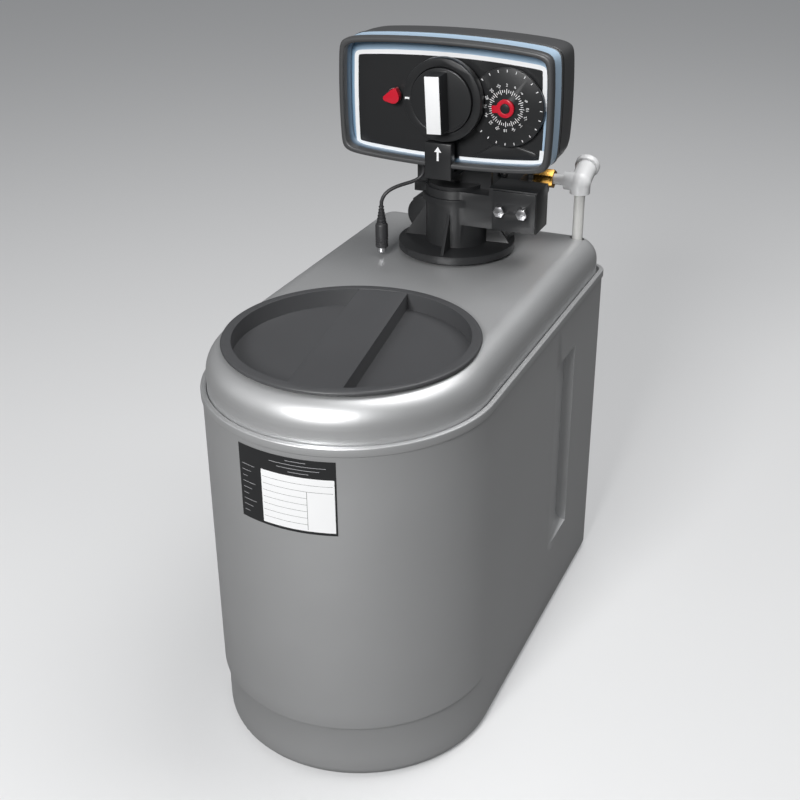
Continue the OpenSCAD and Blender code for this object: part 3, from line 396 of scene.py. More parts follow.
def soften(name, node, width, segments=2):
    """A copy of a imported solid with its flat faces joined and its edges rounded."""
    deselect()
    made = bpy.data.objects.new(name, NODES[node].data.copy())
    made.data.name = name
    bpy.context.scene.collection.objects.link(made)
    only(made)
    bpy.ops.object.mode_set(mode="EDIT")
    bpy.ops.mesh.select_all(action="SELECT")
    bpy.ops.mesh.remove_doubles(threshold=2e-6)
    bpy.ops.mesh.dissolve_limited(angle_limit=math.radians(1.0))
    bpy.ops.object.mode_set(mode="OBJECT")
    return round_edges(made, width, segments)


def turned(name, axis_point, axis, profile, steps=48, smooth=35.0):
    """A turned piece: (radius, along) pairs in millimetres spun round an axis, closed at both ends."""
    axis = Vector(axis).normalized()
    side = axis.orthogonal().normalized()
    other = axis.cross(side)
    rings = []
    for radius, along in profile:
        rings.append([axis_point + axis * along + radius * (side * math.cos(a) + other * math.sin(a))
                      for a in (math.tau * i / steps for i in range(steps))])
    return loft(name, rings, smooth=smooth)


def ribbon(name, path, out, width, height):
    """A flat printed line along a path, standing a little proud towards out."""
    rings = []
    for i, spot in enumerate(path):
        way = (path[min(i + 1, len(path) - 1)] - path[max(i - 1, 0)]).normalized()
        side = way.cross(out).normalized() * width / 2
        rings.append([spot - side, spot + side, spot + side + out * height, spot - side + out * height])
    return loft(name, rings, smooth=60.0)


def slab(name, outline, depth, edge, segments=3):
    """A flat piece from an outline, extruded forwards by depth, its front edge rounded by edge."""
    middle = sum(outline, Vector()) / len(outline)
    rings = [outline, [spot + FORWARD * (depth - edge) for spot in outline]]
    for i in range(1, segments + 1):
        a = math.pi / 2 * i / segments
        rings.append([spot + FORWARD * (depth - edge + edge * math.sin(a))
                      + (middle - spot).normalized() * edge * (1 - math.cos(a)) for spot in outline])
    return loft(name, rings)


def join(name, pieces):
    """Joins pieces into one object."""
    deselect()
    for piece in pieces:
        piece.select_set(True)
    bpy.context.view_layer.objects.active = pieces[0]
    bpy.ops.object.join()
    pieces[0].name = pieces[0].data.name = name
    return pieces[0]


def dress(piece, material, body="softener", replaces=()):
    """Gives a piece its material and its body, and hides the solids it stands for."""
    piece.data.materials.clear()
    piece.data.materials.append(finish(material))
    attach(piece, body)
    if replaces:
        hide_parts(*replaces)
    return piece


def mould(rows):
    """Softened copies of solids, from rows of name, node, rounding, material and maybe body and segments."""
    for name, node, width, material, *more in rows:
        body, segments = more or ("softener", 2)
        dress(soften(name, node, width, segments=segments), material, body, [node])


def pillow(turn, a, b, power, bow):
    """A place on an oblong with bowed edges and soft corners, half sizes a and b, as (x, z)."""
    c, s = math.cos(turn), math.sin(turn)
    u, w = math.copysign(math.sqrt(abs(c)), c), math.copysign(math.sqrt(abs(s)), s)
    k = (abs(u) ** power + abs(w) ** power) ** (-1 / power)
    return a * k * u * (1 - bow[0] * (k * w) ** 2), b * k * w * (1 - bow[1] * (k * u) ** 2)


def pillow_ring(a, b, z, y, power=16.0, bow=(0.02, 0.09), steps=160):
    """The outline of such an oblong, upright at a depth y."""
    spots = []
    for i in range(steps):
        across, up = pillow(math.tau * i / steps, a, b, power, bow)
        spots.append(Vector((across, y, z + up)))
    return spots


LEAD_START = Vector((-22.0, 81.0, 411.0))
LEAD_BENDS = (
    (0, 0, 0), (0, 0, -3.1), (-0.2, -0.2, -5.9), (-1.2, -1, -8.5), (-3.1, -2.3, -10.7),
    (-5.8, -4.3, -12.4), (-8.9, -6.5, -13.7), (-12.2, -8.9, -14.6), (-15.6, -11.3, -15.6),
    (-19, -13.8, -16.8), (-22.1, -16.1, -18.3), (-25, -18.2, -20.3), (-27.4, -19.9, -22.9),
    (-29, -21.1, -26), (-29.9, -21.8, -29.3), (-30, -22, -33),
)
LEAD_D = 3.2
# Height of the connector's bare metal tip
TIP_H = 4.2
GRIP_RINGS, GRIP_START, GRIP_STEP, GRIP_CUT = 3, 7.0, 2.4, 0.45
BOOT_RIBS, BOOT_DROP, BOOT_STEP, BOOT_R, BOOT_TAPER = 5, 15.0, 2.7, 4.2, 0.42
GLAND_RIBS = 2


class SOFTENER_OT_lead(bpy.types.Operator):
    """Hangs the power lead from its gland to the inline connector"""
    bl_idname = "softener.lead"
    bl_label = "Power lead"

    def execute(self, context):
        deselect()
        points = [(LEAD_START + Vector(bend)) * MM for bend in LEAD_BENDS]
        bpy.ops.curve.primitive_nurbs_path_add()
        lead = context.object
        lead.name = "lead_flex"
        curve = lead.data
        curve.splines.clear()
        spline = curve.splines.new("POLY")
        spline.points.add(len(points) - 1)
        for point, place in zip(spline.points, points):
            point.co = (*place, 1.0)
        curve.dimensions = "3D"
        curve.bevel_depth = LEAD_D / 2 * MM
        curve.bevel_resolution = 4
        curve.use_fill_caps = True
        dress(lead, "rubber_black", replaces=["power_lead"])
        plug = inline_plug()
        strain_relief()
        return {"FINISHED"}


def inline_plug():
    """The connector on the lead: a ribbed boot, a waisted barrel with grip rings and a hollow metal tip."""
    foot = LEAD_START + Vector(LEAD_BENDS[-1])
    foot.z = PLUG_LOW.z
    top = PLUG_HIGH.z - PLUG_LOW.z
    r = (PLUG_HIGH.x - PLUG_LOW.x) / 2
    outline = [(0.4, 8), (2.6, 8), (2.6, 0.4), (2.9, 0), (r - 1.9, 0), (r - 1.5, 0.5), (r - 1.5, 4),
               (r - 0.4, 4.4), (r, 5.2)]
    for i in range(GRIP_RINGS):
        z = GRIP_START + GRIP_STEP * i
        outline += [(r, z), (r - GRIP_CUT, z + 0.4), (r - GRIP_CUT, z + 1), (r, z + 1.4)]
    outline += [(r, top - 17), (r - 0.5, top - 15.6)]
    for i in range(BOOT_RIBS):
        z = top - BOOT_DROP + BOOT_STEP * i
        wide = BOOT_R - BOOT_TAPER * i
        outline += [(wide, z), (wide, z + 1.5), (wide - 0.75, z + 1.8), (wide - 0.75, z + 2.4)]
    outline += [(2.4, top - 0.5), (2.1, top), (0.4, top)]
    plug = turned("lead_plug", foot, (0, 0, 1), outline, steps=40)
    dress(plug, "rubber_black", replaces=["lead_connector"])
    plug.data.materials.append(finish("steel_plated"))
    for face in plug.data.polygons:
        if face.center.z < (foot.z + TIP_H) * MM:
            face.material_index = 1
    return plug


def strain_relief():
    """The ribbed gland in the bezel's underside that the lead leaves through."""
    low, top = GLAND_LOW.z, GLAND_HIGH.z
    foot = Vector((LEAD_START.x, LEAD_START.y, low))
    flange = BEZEL_LOW.z - 3 - low
    outline = [(0.4, 0), (2.5, 0), (2.8, 0.3)]
    rib = max(flange, 1.0) / GLAND_RIBS
    for i in range(GLAND_RIBS):
        start, end = rib * i, rib * (i + 1)
        outline += [(2.9, start + 0.4), (3.4, start + 0.6), (3.4, end - 0.3), (2.9, end - 0.1)]
    outline += [(4.6, flange), (5.1, flange + 0.5), (5.1, flange + 2.2), (4.7, flange + 2.8),
                (3.6, flange + 2.9), (3.6, top - low - 0.4), (3.2, top - low), (0.4, top - low)]
    dress(turned("lead_strain_relief", foot, (0, 0, 1), outline, steps=32), "rubber_black",
          replaces=["lead_gland"])


def aim(azimuth, elevation, roll):
    """Right, up and back directions of a camera that looks at the front from a turn and a tilt."""
    a, e, r = (math.radians(v) for v in (azimuth, elevation, roll))
    back = Vector((math.sin(a) * math.cos(e), -math.cos(a) * math.cos(e), math.sin(e)))
    right = Vector((0, 0, 1)).cross(back).normalized()
    up = back.cross(right)
    return right * math.cos(r) + up * math.sin(r), up * math.cos(r) - right * math.sin(r), back


FLOOR_SIZE = 14
FLOOR_SHOWN = (0.6, 0.6, 0.6, 1)
# The floor throws back less light than it shows, so that it doesn't wash out the silver
FLOOR_BOUNCE = (0.16, 0.16, 0.16, 1)
FLOOR_GLOW = 0.16
FLOOR_TINT = (0.95, 0.97, 1, 1)
SKY_TINT = (0.9, 0.92, 0.95, 1)
SKY_STRENGTH = 0.13
# Each light: its place and size in metres, and its share of the stage's power
LIGHTS = {
    "key_light": ((0.0, -1.7, 1.25), 0.6, 1.5),
    "fill_light": ((-1.7, -0.9, 1.2), 1.4, 0.15),
    "top_light": ((0.5, 0.35, 1.9), 1.2, 0.9),
}
LIGHT_TARGET = Vector((0, 0, 0.28))
CAMERA_TARGET = Vector((4.581, LID_Y + 100.0, 229.144)) * MM
SENSOR_MM = 36
PICTURE_PX = 800
SHIFT_PX = (-11.1, 6.027)
FAR_CLIP = 50


class SOFTENER_OT_stage(bpy.types.Operator):
    """Sets the floor, the light and the camera"""
    bl_idname = "softener.stage"
    bl_label = "Stage"

    def execute(self, context):
        context.scene.view_settings.view_transform = "Standard"
        self.floor(context)
        self.light(context)
        self.camera(context)
        return {"FINISHED"}

    def floor(self, context):
        """A plain pale floor."""
        deselect()
        bpy.ops.mesh.primitive_plane_add(size=FLOOR_SIZE, location=(0, 0, 0))
        floor = context.object
        floor.name = "stage_floor"
        pale = bpy.data.materials.new("stage_pale")
        pale.use_nodes = True
        ground = pale.node_tree.nodes["Principled BSDF"]
        ground.inputs["Roughness"].default_value = 0.9
        ground.inputs["Emission Color"].default_value = FLOOR_TINT
        nodes = Nodes(pale.node_tree)
        seen = nodes.add("ShaderNodeLightPath").outputs["Is Camera Ray"]
        nodes.link(nodes.math("MULTIPLY", seen, FLOOR_GLOW), ground.inputs["Emission Strength"])
        nodes.link(nodes.mix(seen, FLOOR_BOUNCE, FLOOR_SHOWN), ground.inputs["Base Color"])
        floor.data.materials.append(pale)

    def light(self, context):
        """A dim sky and three soft lights."""
        world = bpy.data.worlds.new("studio")
        context.scene.world = world
        world.use_nodes = True
        sky = world.node_tree.nodes["Background"]
        sky.inputs["Color"].default_value = SKY_TINT
        sky.inputs["Strength"].default_value = SKY_STRENGTH
        for name, (place, size, share) in LIGHTS.items():
            bpy.ops.object.light_add(type="AREA", location=place)
            lamp = context.object
            lamp.name = name
            lamp.data.size = size
            lamp.data.energy = share * context.scene.softener_stage.power
            lamp.rotation_euler = (LIGHT_TARGET - Vector(place)).to_track_quat("-Z", "Y").to_euler()

    def camera(self, context):
        """The camera, at the photograph's viewing angle."""
        stage = context.scene.softener_stage
        bpy.ops.object.camera_add()
        camera = context.object
        right, up, back = aim(stage.azimuth, stage.elevation, stage.roll)
        turn = Matrix((right, up, back)).transposed().to_4x4()
        camera.matrix_world = Matrix.Translation(CAMERA_TARGET + back * stage.distance) @ turn
        camera.data.lens = stage.focal
        camera.data.sensor_width = SENSOR_MM
        camera.data.shift_x, camera.data.shift_y = (pixels / PICTURE_PX for pixels in SHIFT_PX)
        camera.data.clip_end = FAR_CLIP
        context.scene.camera = camera


REAR_CORNER = 16.0
FOOT_INSET = 5.0
FOOT_EDGE = 9.0
FOOT_TOP = 55.0
WALL = 3.0
LEDGE = 5.0
LEDGE_T = 4.0
FLOOR_T = 4.0
SCOOP_DEPTH = 9.0
SCOOP_LOW = 77.0
SCOOP_HIGH = 259.0
SCOOP_FRONT = REAR_Y - 144.0
SCOOP_REAR = REAR_Y - 91.0
SCOOP_LIP = 1.5
SCOOP_END = 10.0
# Steps of the front arc, a rear corner, a quarter round and the bead's edges
ARC_STEPS, CORNER_STEPS, ROUND_STEPS, BEAD_STEPS = 64, 8, 6, 3
# The foot's step: the height, and the share of the inset that is left there
FOOT_STEP = ((20.0, 1.0), (FOOT_TOP - 3.0, 1.0), (FOOT_TOP - 2.6, 0.96), (FOOT_TOP - 2.4, 0.6),
             (FOOT_TOP - 2.3, 0.3), (FOOT_TOP - 2.0, 0.17), (FOOT_TOP - 1.3, 0.06), (FOOT_TOP, 0.0))


def side_stations():
    """Places along a cabinet side, from the front to the rear corner, close together at the scoop."""
    steps = [LID_Y + 40 * i for i in range(4)] + [SCOOP_FRONT - 2]
    steps += [SCOOP_FRONT + (SCOOP_REAR - SCOOP_FRONT) * i / 6 for i in range(7)]
    steps += [SCOOP_REAR + SCOOP_LIP * i / 3 for i in range(1, 4)]
    return steps + [SCOOP_REAR + 30, SCOOP_REAR + 55, REAR_Y - REAR_CORNER]


def wall_plan():
    """The cabinet's outline as (x, y, outward x, outward y), round from the left side."""
    spots = []
    for i in range(ARC_STEPS + 1):
        a = math.pi * (1 + i / ARC_STEPS)
        spots.append((WALL_R * math.cos(a), LID_Y + WALL_R * math.sin(a), math.cos(a), math.sin(a)))
    side = side_stations()[1:]
    spots += [(WALL_R, y, 1.0, 0.0) for y in side]
    for sign in (1, -1):
        for i in range(1 if sign > 0 else 0, CORNER_STEPS + 1):
            a = math.pi / 2 * i / CORNER_STEPS
            a = a if sign > 0 else math.pi / 2 + a
            spots.append((sign * (WALL_R - REAR_CORNER) + REAR_CORNER * math.cos(a),
                          REAR_Y - REAR_CORNER + REAR_CORNER * math.sin(a), math.cos(a), math.sin(a)))
    return spots + [(-WALL_R, y, -1.0, 0.0) for y in reversed(side[:-1])]


def ease(value):
    """Smooth step from 0 to 1."""
    value = min(max(value, 0.0), 1.0)
    return value * value * (3 - 2 * value)


def scoop(x, y, z):
    """Depth of the hand scoop at a place on the side wall."""
    if abs(x) < WALL_R - 0.01 or not SCOOP_FRONT < y < SCOOP_REAR + SCOOP_LIP:
        return 0.0
    along = (y - SCOOP_FRONT) / (SCOOP_REAR - SCOOP_FRONT)
    if y > SCOOP_REAR:
        along = 1 - ease((y - SCOOP_REAR) / SCOOP_LIP)
    end = min(z - SCOOP_LOW, SCOOP_HIGH - z) / SCOOP_END
    if end <= 0:
        return 0.0
    rounded = math.sqrt(1 - (1 - min(end, 1.0)) ** 2)
    return SCOOP_DEPTH * along * rounded


def wall_ring(spots, z, inset, back=0.0):
    """One level of the cabinet's wall; back sets the front arc back."""
    ring = []
    for x, y, nx, ny in spots:
        cut = inset + scoop(x, y, z)
        shift = back if y < LID_Y + 0.01 else 0.0
        ring.append(Vector((x - nx * cut, y + shift - ny * cut, z)))
    return ring


class SOFTENER_OT_cabinet(bpy.types.Operator):
    """Models the cabinet with its rounded foot, bead and hand scoops"""
    bl_idname = "softener.cabinet"
    bl_label = "Cabinet"

    def execute(self, context):
        spots = wall_plan()
        rings = [wall_ring(spots, 0.0, FOOT_EDGE + 3, FOOT_INSET)]
        quarter = [math.pi / 2 * i / ROUND_STEPS for i in range(ROUND_STEPS + 1)]
        for a in quarter:
            up, inset = FOOT_EDGE * (1 - math.cos(a)), FOOT_EDGE * (1 - math.sin(a))
            rings.append(wall_ring(spots, up, inset, FOOT_INSET))
        rings += [wall_ring(spots, z, 0.0, FOOT_INSET * back) for z, back in FOOT_STEP]
        heights = [68.0, SCOOP_LOW] + [SCOOP_LOW + SCOOP_END * (1 - math.cos(a)) for a in quarter[1:]]
        heights += [120.0, 168.0, 215.0]
        heights += [SCOOP_HIGH - SCOOP_END * (1 - math.sin(a)) for a in quarter]
        rings += [wall_ring(spots, z, 0.0) for z in heights]
        foot = RIM_Z - BEAD_H
        rings += [wall_ring(spots, foot - 0.6, 0.0), wall_ring(spots, foot, -0.15)]
        bend = [math.pi / 2 * i / BEAD_STEPS for i in range(BEAD_STEPS + 1)]
        rings += [wall_ring(spots, foot + 1.0 - math.cos(a), -0.2 - math.sin(a)) for a in bend]
        rings += [wall_ring(spots, RIM_Z - 1.0 + math.sin(a), -0.2 - math.cos(a)) for a in bend]
        rings += [wall_ring(spots, RIM_Z, WALL - 0.4), wall_ring(spots, RIM_Z - 0.4, WALL),
                  wall_ring(spots, foot, WALL), wall_ring(spots, foot, WALL + LEDGE),
                  wall_ring(spots, foot - LEDGE_T, WALL + LEDGE), wall_ring(spots, foot - LEDGE_T, WALL)]
        rings += [wall_ring(spots, z, WALL) for z in reversed(heights)]
        rings += [wall_ring(spots, z, inset, FOOT_INSET) for z, inset in
                  ((FOOT_TOP + 2, WALL), (FOOT_EDGE, WALL), (FLOOR_T, FOOT_EDGE + 2))]
        shell = loft("cabinet_shell", rings, smooth=30.0)
        dress(shell, "silver_satin", replaces=["cabinet_body"])
        return {"FINISHED"}


class SOFTENER_OT_lid(bpy.types.Operator):
    """Models the salt lid with its softened rim and grip bar"""
    bl_idname = "softener.lid"
    bl_label = "Salt lid"

    def execute(self, context):
        mould((("lid_moulding", "salt_lid", 1.1, "lid_grain", "lid", 3),))
        return {"FINISHED"}


def arc_panel(name, low_turn, high_turn, low_z, high_z, proud, thick):
    """A panel bent round the cabinet's front; turns in degrees from the front, seen from above."""
    steps = max(2, round(abs(high_turn - low_turn) / 1.5))
    rings = []
    for i in range(steps + 1):
        a = math.radians(-90 + low_turn + (high_turn - low_turn) * i / steps)
        ray = Vector((math.cos(a), math.sin(a), 0))
        near, far = (Vector((0, LID_Y, 0)) + ray * (WALL_R + r) for r in (proud, proud + thick))
        rings.append([spot + Vector((0, 0, z)) for spot, z in
                      ((near, low_z), (near, high_z), (far, high_z), (far, low_z))])
    return loft(name, rings, smooth=50.0)


# The white field's edges as shares of the plate's turn, and its margins in millimetres
FIELD_LEFT, FIELD_RIGHT, FIELD_FOOT, FIELD_HEAD = -0.47, 0.965, 2.2, 14.5
# Where the field's column starts, as a share of its width
COLUMN = 0.64
FIELD_RULES, LONG_RULES = 7, 2
RULE_H, PALE_H = 0.12, 0.2
# Starts and ends of the pale lines at the plate's head, as shares of its turn
HEAD_RULES = ((0.05, 0.45), (-0.28, 0.82), (-0.12, 0.7), (0.1, 0.5))
HEAD_DROP, HEAD_STEP = 2.8, 2.9
SIDE_RULES = 9


class SOFTENER_OT_rating_plate(bpy.types.Operator):
    """Lays a blank rating plate with ruled lines on the front"""
    bl_idname = "softener.rating_plate"
    bl_label = "Rating plate"

    def execute(self, context):
        low, high = PLATE_LOW.z, PLATE_HIGH.z
        turn = math.degrees(math.asin(PLATE_HIGH.x / (WALL_R + 0.45)))
        base = arc_panel("plate_black", -turn, turn, low, high, 0.05, 0.25)
        dress(base, "control_black", replaces=["rating_plate"])
        left, right = FIELD_LEFT * turn, FIELD_RIGHT * turn
        foot, top = low + FIELD_FOOT, high - FIELD_HEAD
        white = arc_panel("plate_white", left, right, foot, top, 0.28, 0.08)
        dress(white, "print_white")
        rules = []
        middle = left + (right - left) * COLUMN
        for i in range(FIELD_RULES):
            z = foot + (top - foot) * (i + 1) / (FIELD_RULES + 1)
            stop = right - 0.5 if i >= FIELD_RULES - LONG_RULES else middle
            rules.append(arc_panel("rule", left + 0.5, stop, z - RULE_H, z + RULE_H, 0.34, 0.05))
        rules.append(arc_panel("rule", middle - 0.08, middle + 0.08, foot + 1, foot + (top - foot) * 0.75,
                               0.34, 0.05))
        dress(join("plate_rules", rules), "head_grain")
        spans = [(*span, high - HEAD_DROP - HEAD_STEP * i) for i, span in enumerate(HEAD_RULES)]
        spans += [(-0.93, -0.62 - 0.09 * (i % 3), top - 1 - (top - foot) * i / SIDE_RULES)
                  for i in range(SIDE_RULES)]
        pale = [arc_panel("pale", start * turn, stop * turn, z - PALE_H, z + PALE_H, 0.28, 0.06)
                for start, stop, z in spans]
        dress(join("plate_pale_rules", pale), "grey_plastic")
        return {"FINISHED"}


BEZEL_T = 4.5
PANEL_IN = 16.0
PANEL_T = 2.0
LEDGE_W = 4.5
SHELL_SLICES = ((0.0, 0.5), (0.3, 1.0), (0.53, 2.0), (0.67, 3.5), (0.79, 6.0), (0.87, 9.0), (0.93, 13.0),
                (0.97, 17.5), (0.99, 21.0), (1.0, 24.0))
SHELL_T = 2.5
# The opening in the shell's underside, for the valve's deck and the piston rod, and how far it overshoots
SHELL_SLOT = Vector((76, 48, 16))
SLOT_OVER = 1
FRAME_A, FRAME_B, FRAME_X, FRAME_DROP = 83.2, 42.4, -0.7, -4.7
FRAME_POWER = 40.0
FRAME_BOW = (0.012, 0.1)
# Turns that the two runs of the frame line start and end at
FRAME_RUNS = ((0.7, 267.7), (271.0, 331.5))
STRIPE_FRONT, STRIPE_BACK = 8.5, 25.5
# The bezel's front lip: where its rounding starts, its depth and width, and where its inner wall starts
LIP_START, LIP_DEEP, LIP_WIDE, LIP_BACK = 3.0, 2.7, 2.4, 1.3
# A face that leans forwards or back by more than this isn't painted
STEEP = 0.3
HILL = ((21, -43.6), (28.7, -39.9), (37.4, -33.9), (43, -31.4), (49, -30.3), (57.6, -30.6), (67.7, -32.8),
        (76.5, -35.2), (79.2, -38), (76, -40), (60, -42.6), (40, -43.6))


def head_ring(y, inset):
    """The head's outline at a depth behind its front, pulled in by an inset."""
    return pillow_ring(HEAD_A - inset, HEAD_B - inset, HEAD_MID, HEAD_Y + y)


class SOFTENER_OT_bezel(bpy.types.Operator):
    """Models the bezel with its rounded lip, blue stripe, blue recess with painted shade, and ledge"""
    bl_idname = "softener.bezel"
    bl_label = "Bezel"

    def execute(self, context):
        deep = BEZEL_HIGH.y - BEZEL_LOW.y
        back = PANEL_IN + PANEL_T + 0.1
        inner = BEZEL_T + LEDGE_W
        profile = [(deep, 1.2), (deep - 0.35, 0.35), (deep - 1.2, 0.0), (STRIPE_BACK + 0.5, 0.0),
                   (STRIPE_BACK + 0.3, 0.4), (STRIPE_BACK, 0.45), (STRIPE_FRONT, 0.45),
                   (STRIPE_FRONT - 0.3, 0.4), (STRIPE_FRONT - 0.5, 0.0), (LIP_START, 0.0)]
        for i in range(1, ROUND_STEPS + 1):
            a = math.pi / 2 * i / ROUND_STEPS
            profile.append((LIP_START - LIP_DEEP * math.sin(a), LIP_WIDE - LIP_WIDE * math.cos(a)))
        profile += [(0.3, 3.3), (0.6, 4.0), (LIP_BACK, BEZEL_T), (7.5, BEZEL_T), (12.0, BEZEL_T),
                    (back, BEZEL_T), (back, inner), (back + 2, inner), (back + 2, BEZEL_T), (deep, BEZEL_T),
                    (deep, 1.2)]
        bezel = loft("head_band", [head_ring(y, inset) for y, inset in profile], caps=(False, False))
        dress(bezel, "head_grain", replaces=["head_bezel"])
        bezel.data.materials.append(finish("stripe_blue"))
        # The recess's blue is colour with painted shade on it, darker towards the lip
        bezel.data.materials.append(finish("recess_blue"))
        centre = Vector((0, 0, HEAD_MID * MM))
        for face in bezel.data.polygons:
            y = face.center.y / MM - HEAD_Y
            flat = face.center - centre
            outwards = face.normal.x * flat.x + face.normal.z * flat.z
            if abs(face.normal.y) >= STEEP:
                continue
            if outwards > 0 and STRIPE_FRONT - 0.1 < y < STRIPE_BACK + 0.1:
                face.material_index = 1
            elif outwards < 0 and LIP_BACK - 0.1 < y < back:
                face.material_index = 2
        return {"FINISHED"}


class SOFTENER_OT_back_shell(bpy.types.Operator):
    """Models the head's rounded back shell, with its wall"""
    bl_idname = "softener.back_shell"
    bl_label = "Back shell"

    def execute(self, context):
        start = SHELL_LOW.y - HEAD_Y
        deep = SHELL_HIGH.y - SHELL_LOW.y
        outer = [head_ring(start + deep * part, inset) for part, inset in SHELL_SLICES]
        inner = [head_ring(start + (deep - SHELL_T) * part, inset + SHELL_T) for part, inset in SHELL_SLICES]
        rim = [head_ring(start, SHELL_T - 0.4), head_ring(start + 0.01, 1.0), head_ring(start + 0.35, 0.55)]
        shell = loft("head_shell", inner[::-1] + rim + outer[1:], smooth=40.0)
        bpy.ops.mesh.primitive_cube_add(size=1.0)
        cutter = context.object
        cutter.scale = SHELL_SLOT * MM
        corner = Vector((-SHELL_SLOT.x / 2, SHELL_LOW.y - SLOT_OVER, SHELL_LOW.z - SLOT_OVER))
        cutter.location = (corner + SHELL_SLOT / 2) * MM
        bpy.ops.object.transform_apply(location=True, rotation=False, scale=True)
        apply(shell, "BOOLEAN", operation="DIFFERENCE", object=cutter, solver="EXACT")
        only(cutter)
        bpy.ops.object.delete()
        dress(shell, "head_grain", replaces=["back_shell"])
        return {"FINISHED"}


def frame_spot(turn):
    """A place on the panel's white frame, by its turn from the right, in degrees."""
    across, up = pillow(math.radians(turn), FRAME_A, FRAME_B, FRAME_POWER, FRAME_BOW)
    return Vector((FRAME_X + across, PANEL_LOW.y - 0.1, HEAD_MID + FRAME_DROP + up))


def frame_path(low_turn, high_turn):
    """Places along the white frame, close together."""
    steps = max(2, round((high_turn - low_turn) / 1.2))
    return [frame_spot(low_turn + (high_turn - low_turn) * i / steps) for i in range(steps + 1)]


class SOFTENER_OT_panel_print(bpy.types.Operator):
    """Lays the blue band, with painted shade at its outer edge, and the white frame line on the control panel
    """
    bl_idname = "softener.panel_print"
    bl_label = "Panel print"

    def execute(self, context):
        tall = sizes().print_height / MM
        wide = sizes().line_width / MM
        front = PANEL_LOW.y
        outer = [pillow_ring(HEAD_A - BEZEL_T - 0.5, HEAD_B - BEZEL_T - 0.5, HEAD_MID, front - depth)
                 for depth in (0.02, tall * 0.6)]
        inner = [[spot + Vector((FRAME_X, 0, 0)) for spot in
                  pillow_ring(FRAME_A, FRAME_B, HEAD_MID + FRAME_DROP, front - depth, FRAME_POWER, FRAME_BOW)]
                 for depth in (tall * 0.6, 0.02)]
        band = loft("panel_band", [*outer, *inner, outer[0]], caps=(False, False))
        # The band's blue is painted shade at its outer edge, fading out next to the white line by a point
        # attribute
        dress(band, "band_blue")
        inward = band.data.attributes.new("inward", "FLOAT", "POINT")
        edge = {tuple(spot * MM) for ring in inner for spot in ring}
        for i, vertex in enumerate(band.data.vertices):
            inward.data[i].value = float(tuple(vertex.co) in edge)
        lines = [ribbon("line", frame_path(*run), FORWARD, wide, tall) for run in FRAME_RUNS]
        dress(join("panel_frame_line", lines), "print_white")
        hill = [Vector((x, front, HEAD_MID + z)) for x, z in HILL]
        dress(slab("panel_hill", hill, 1.3, 0.9), "control_black")
        return {"FINISHED"}


def upright_text(name, text, size, spot, turn=0.0):
    """A number as a thin raised print that faces the front."""
    deselect()
    bpy.ops.object.text_add()
    label = bpy.context.object
    label.name = name
    label.data.body = text
    label.data.size = size * MM
    label.data.align_x = label.data.align_y = "CENTER"
    label.data.extrude = 0.06 * MM
    bpy.ops.object.convert(target="MESH")
    label = bpy.context.object
    label.data.transform(Matrix.Translation(spot * MM) @ Matrix.Rotation(math.radians(-turn), 4, "Y")
                         @ Matrix.Rotation(math.pi / 2, 4, "X"))
    return label


def face_spot(x, z, y, radius, turn):
    """A place on a dial's face: radius and turn clockwise from the top, seen from the front."""
    a = math.radians(turn)
    return Vector((x + radius * math.sin(a), y, z + radius * math.cos(a)))


# Depth of the wheel's face behind its front, and the reach of its ticks from the axis
WHEEL_FACE = 3.6
LONG_TICK, SHORT_TICK = (11.0, 15.4), (12.4, 14.6)
RIM_TICK = (WHEEL_R - 3.4, WHEEL_R - 1.4)
INNER_TICKS, RIM_TICKS, NUMBERS = 48, 24, 16
NUMBER_R, NUMBER_SIZE = 18.2, 3.4
# The index on the day ring: its turn and its reach from the axis
INDEX_TURN = -91
INDEX_REACH = (28.4, 30.0, 32.4)
# The arrow on the time tab: its place across, its distance below the tab's top and its thickness
ARROW_X, ARROW_DROP, ARROW_T = -3.0, 3, 0.15
ARROW_HEAD = ((-3.2, -4.6), (3.2, -4.6), (0, 0))
ARROW_STEM = (12.0, 8.0, 4.4)


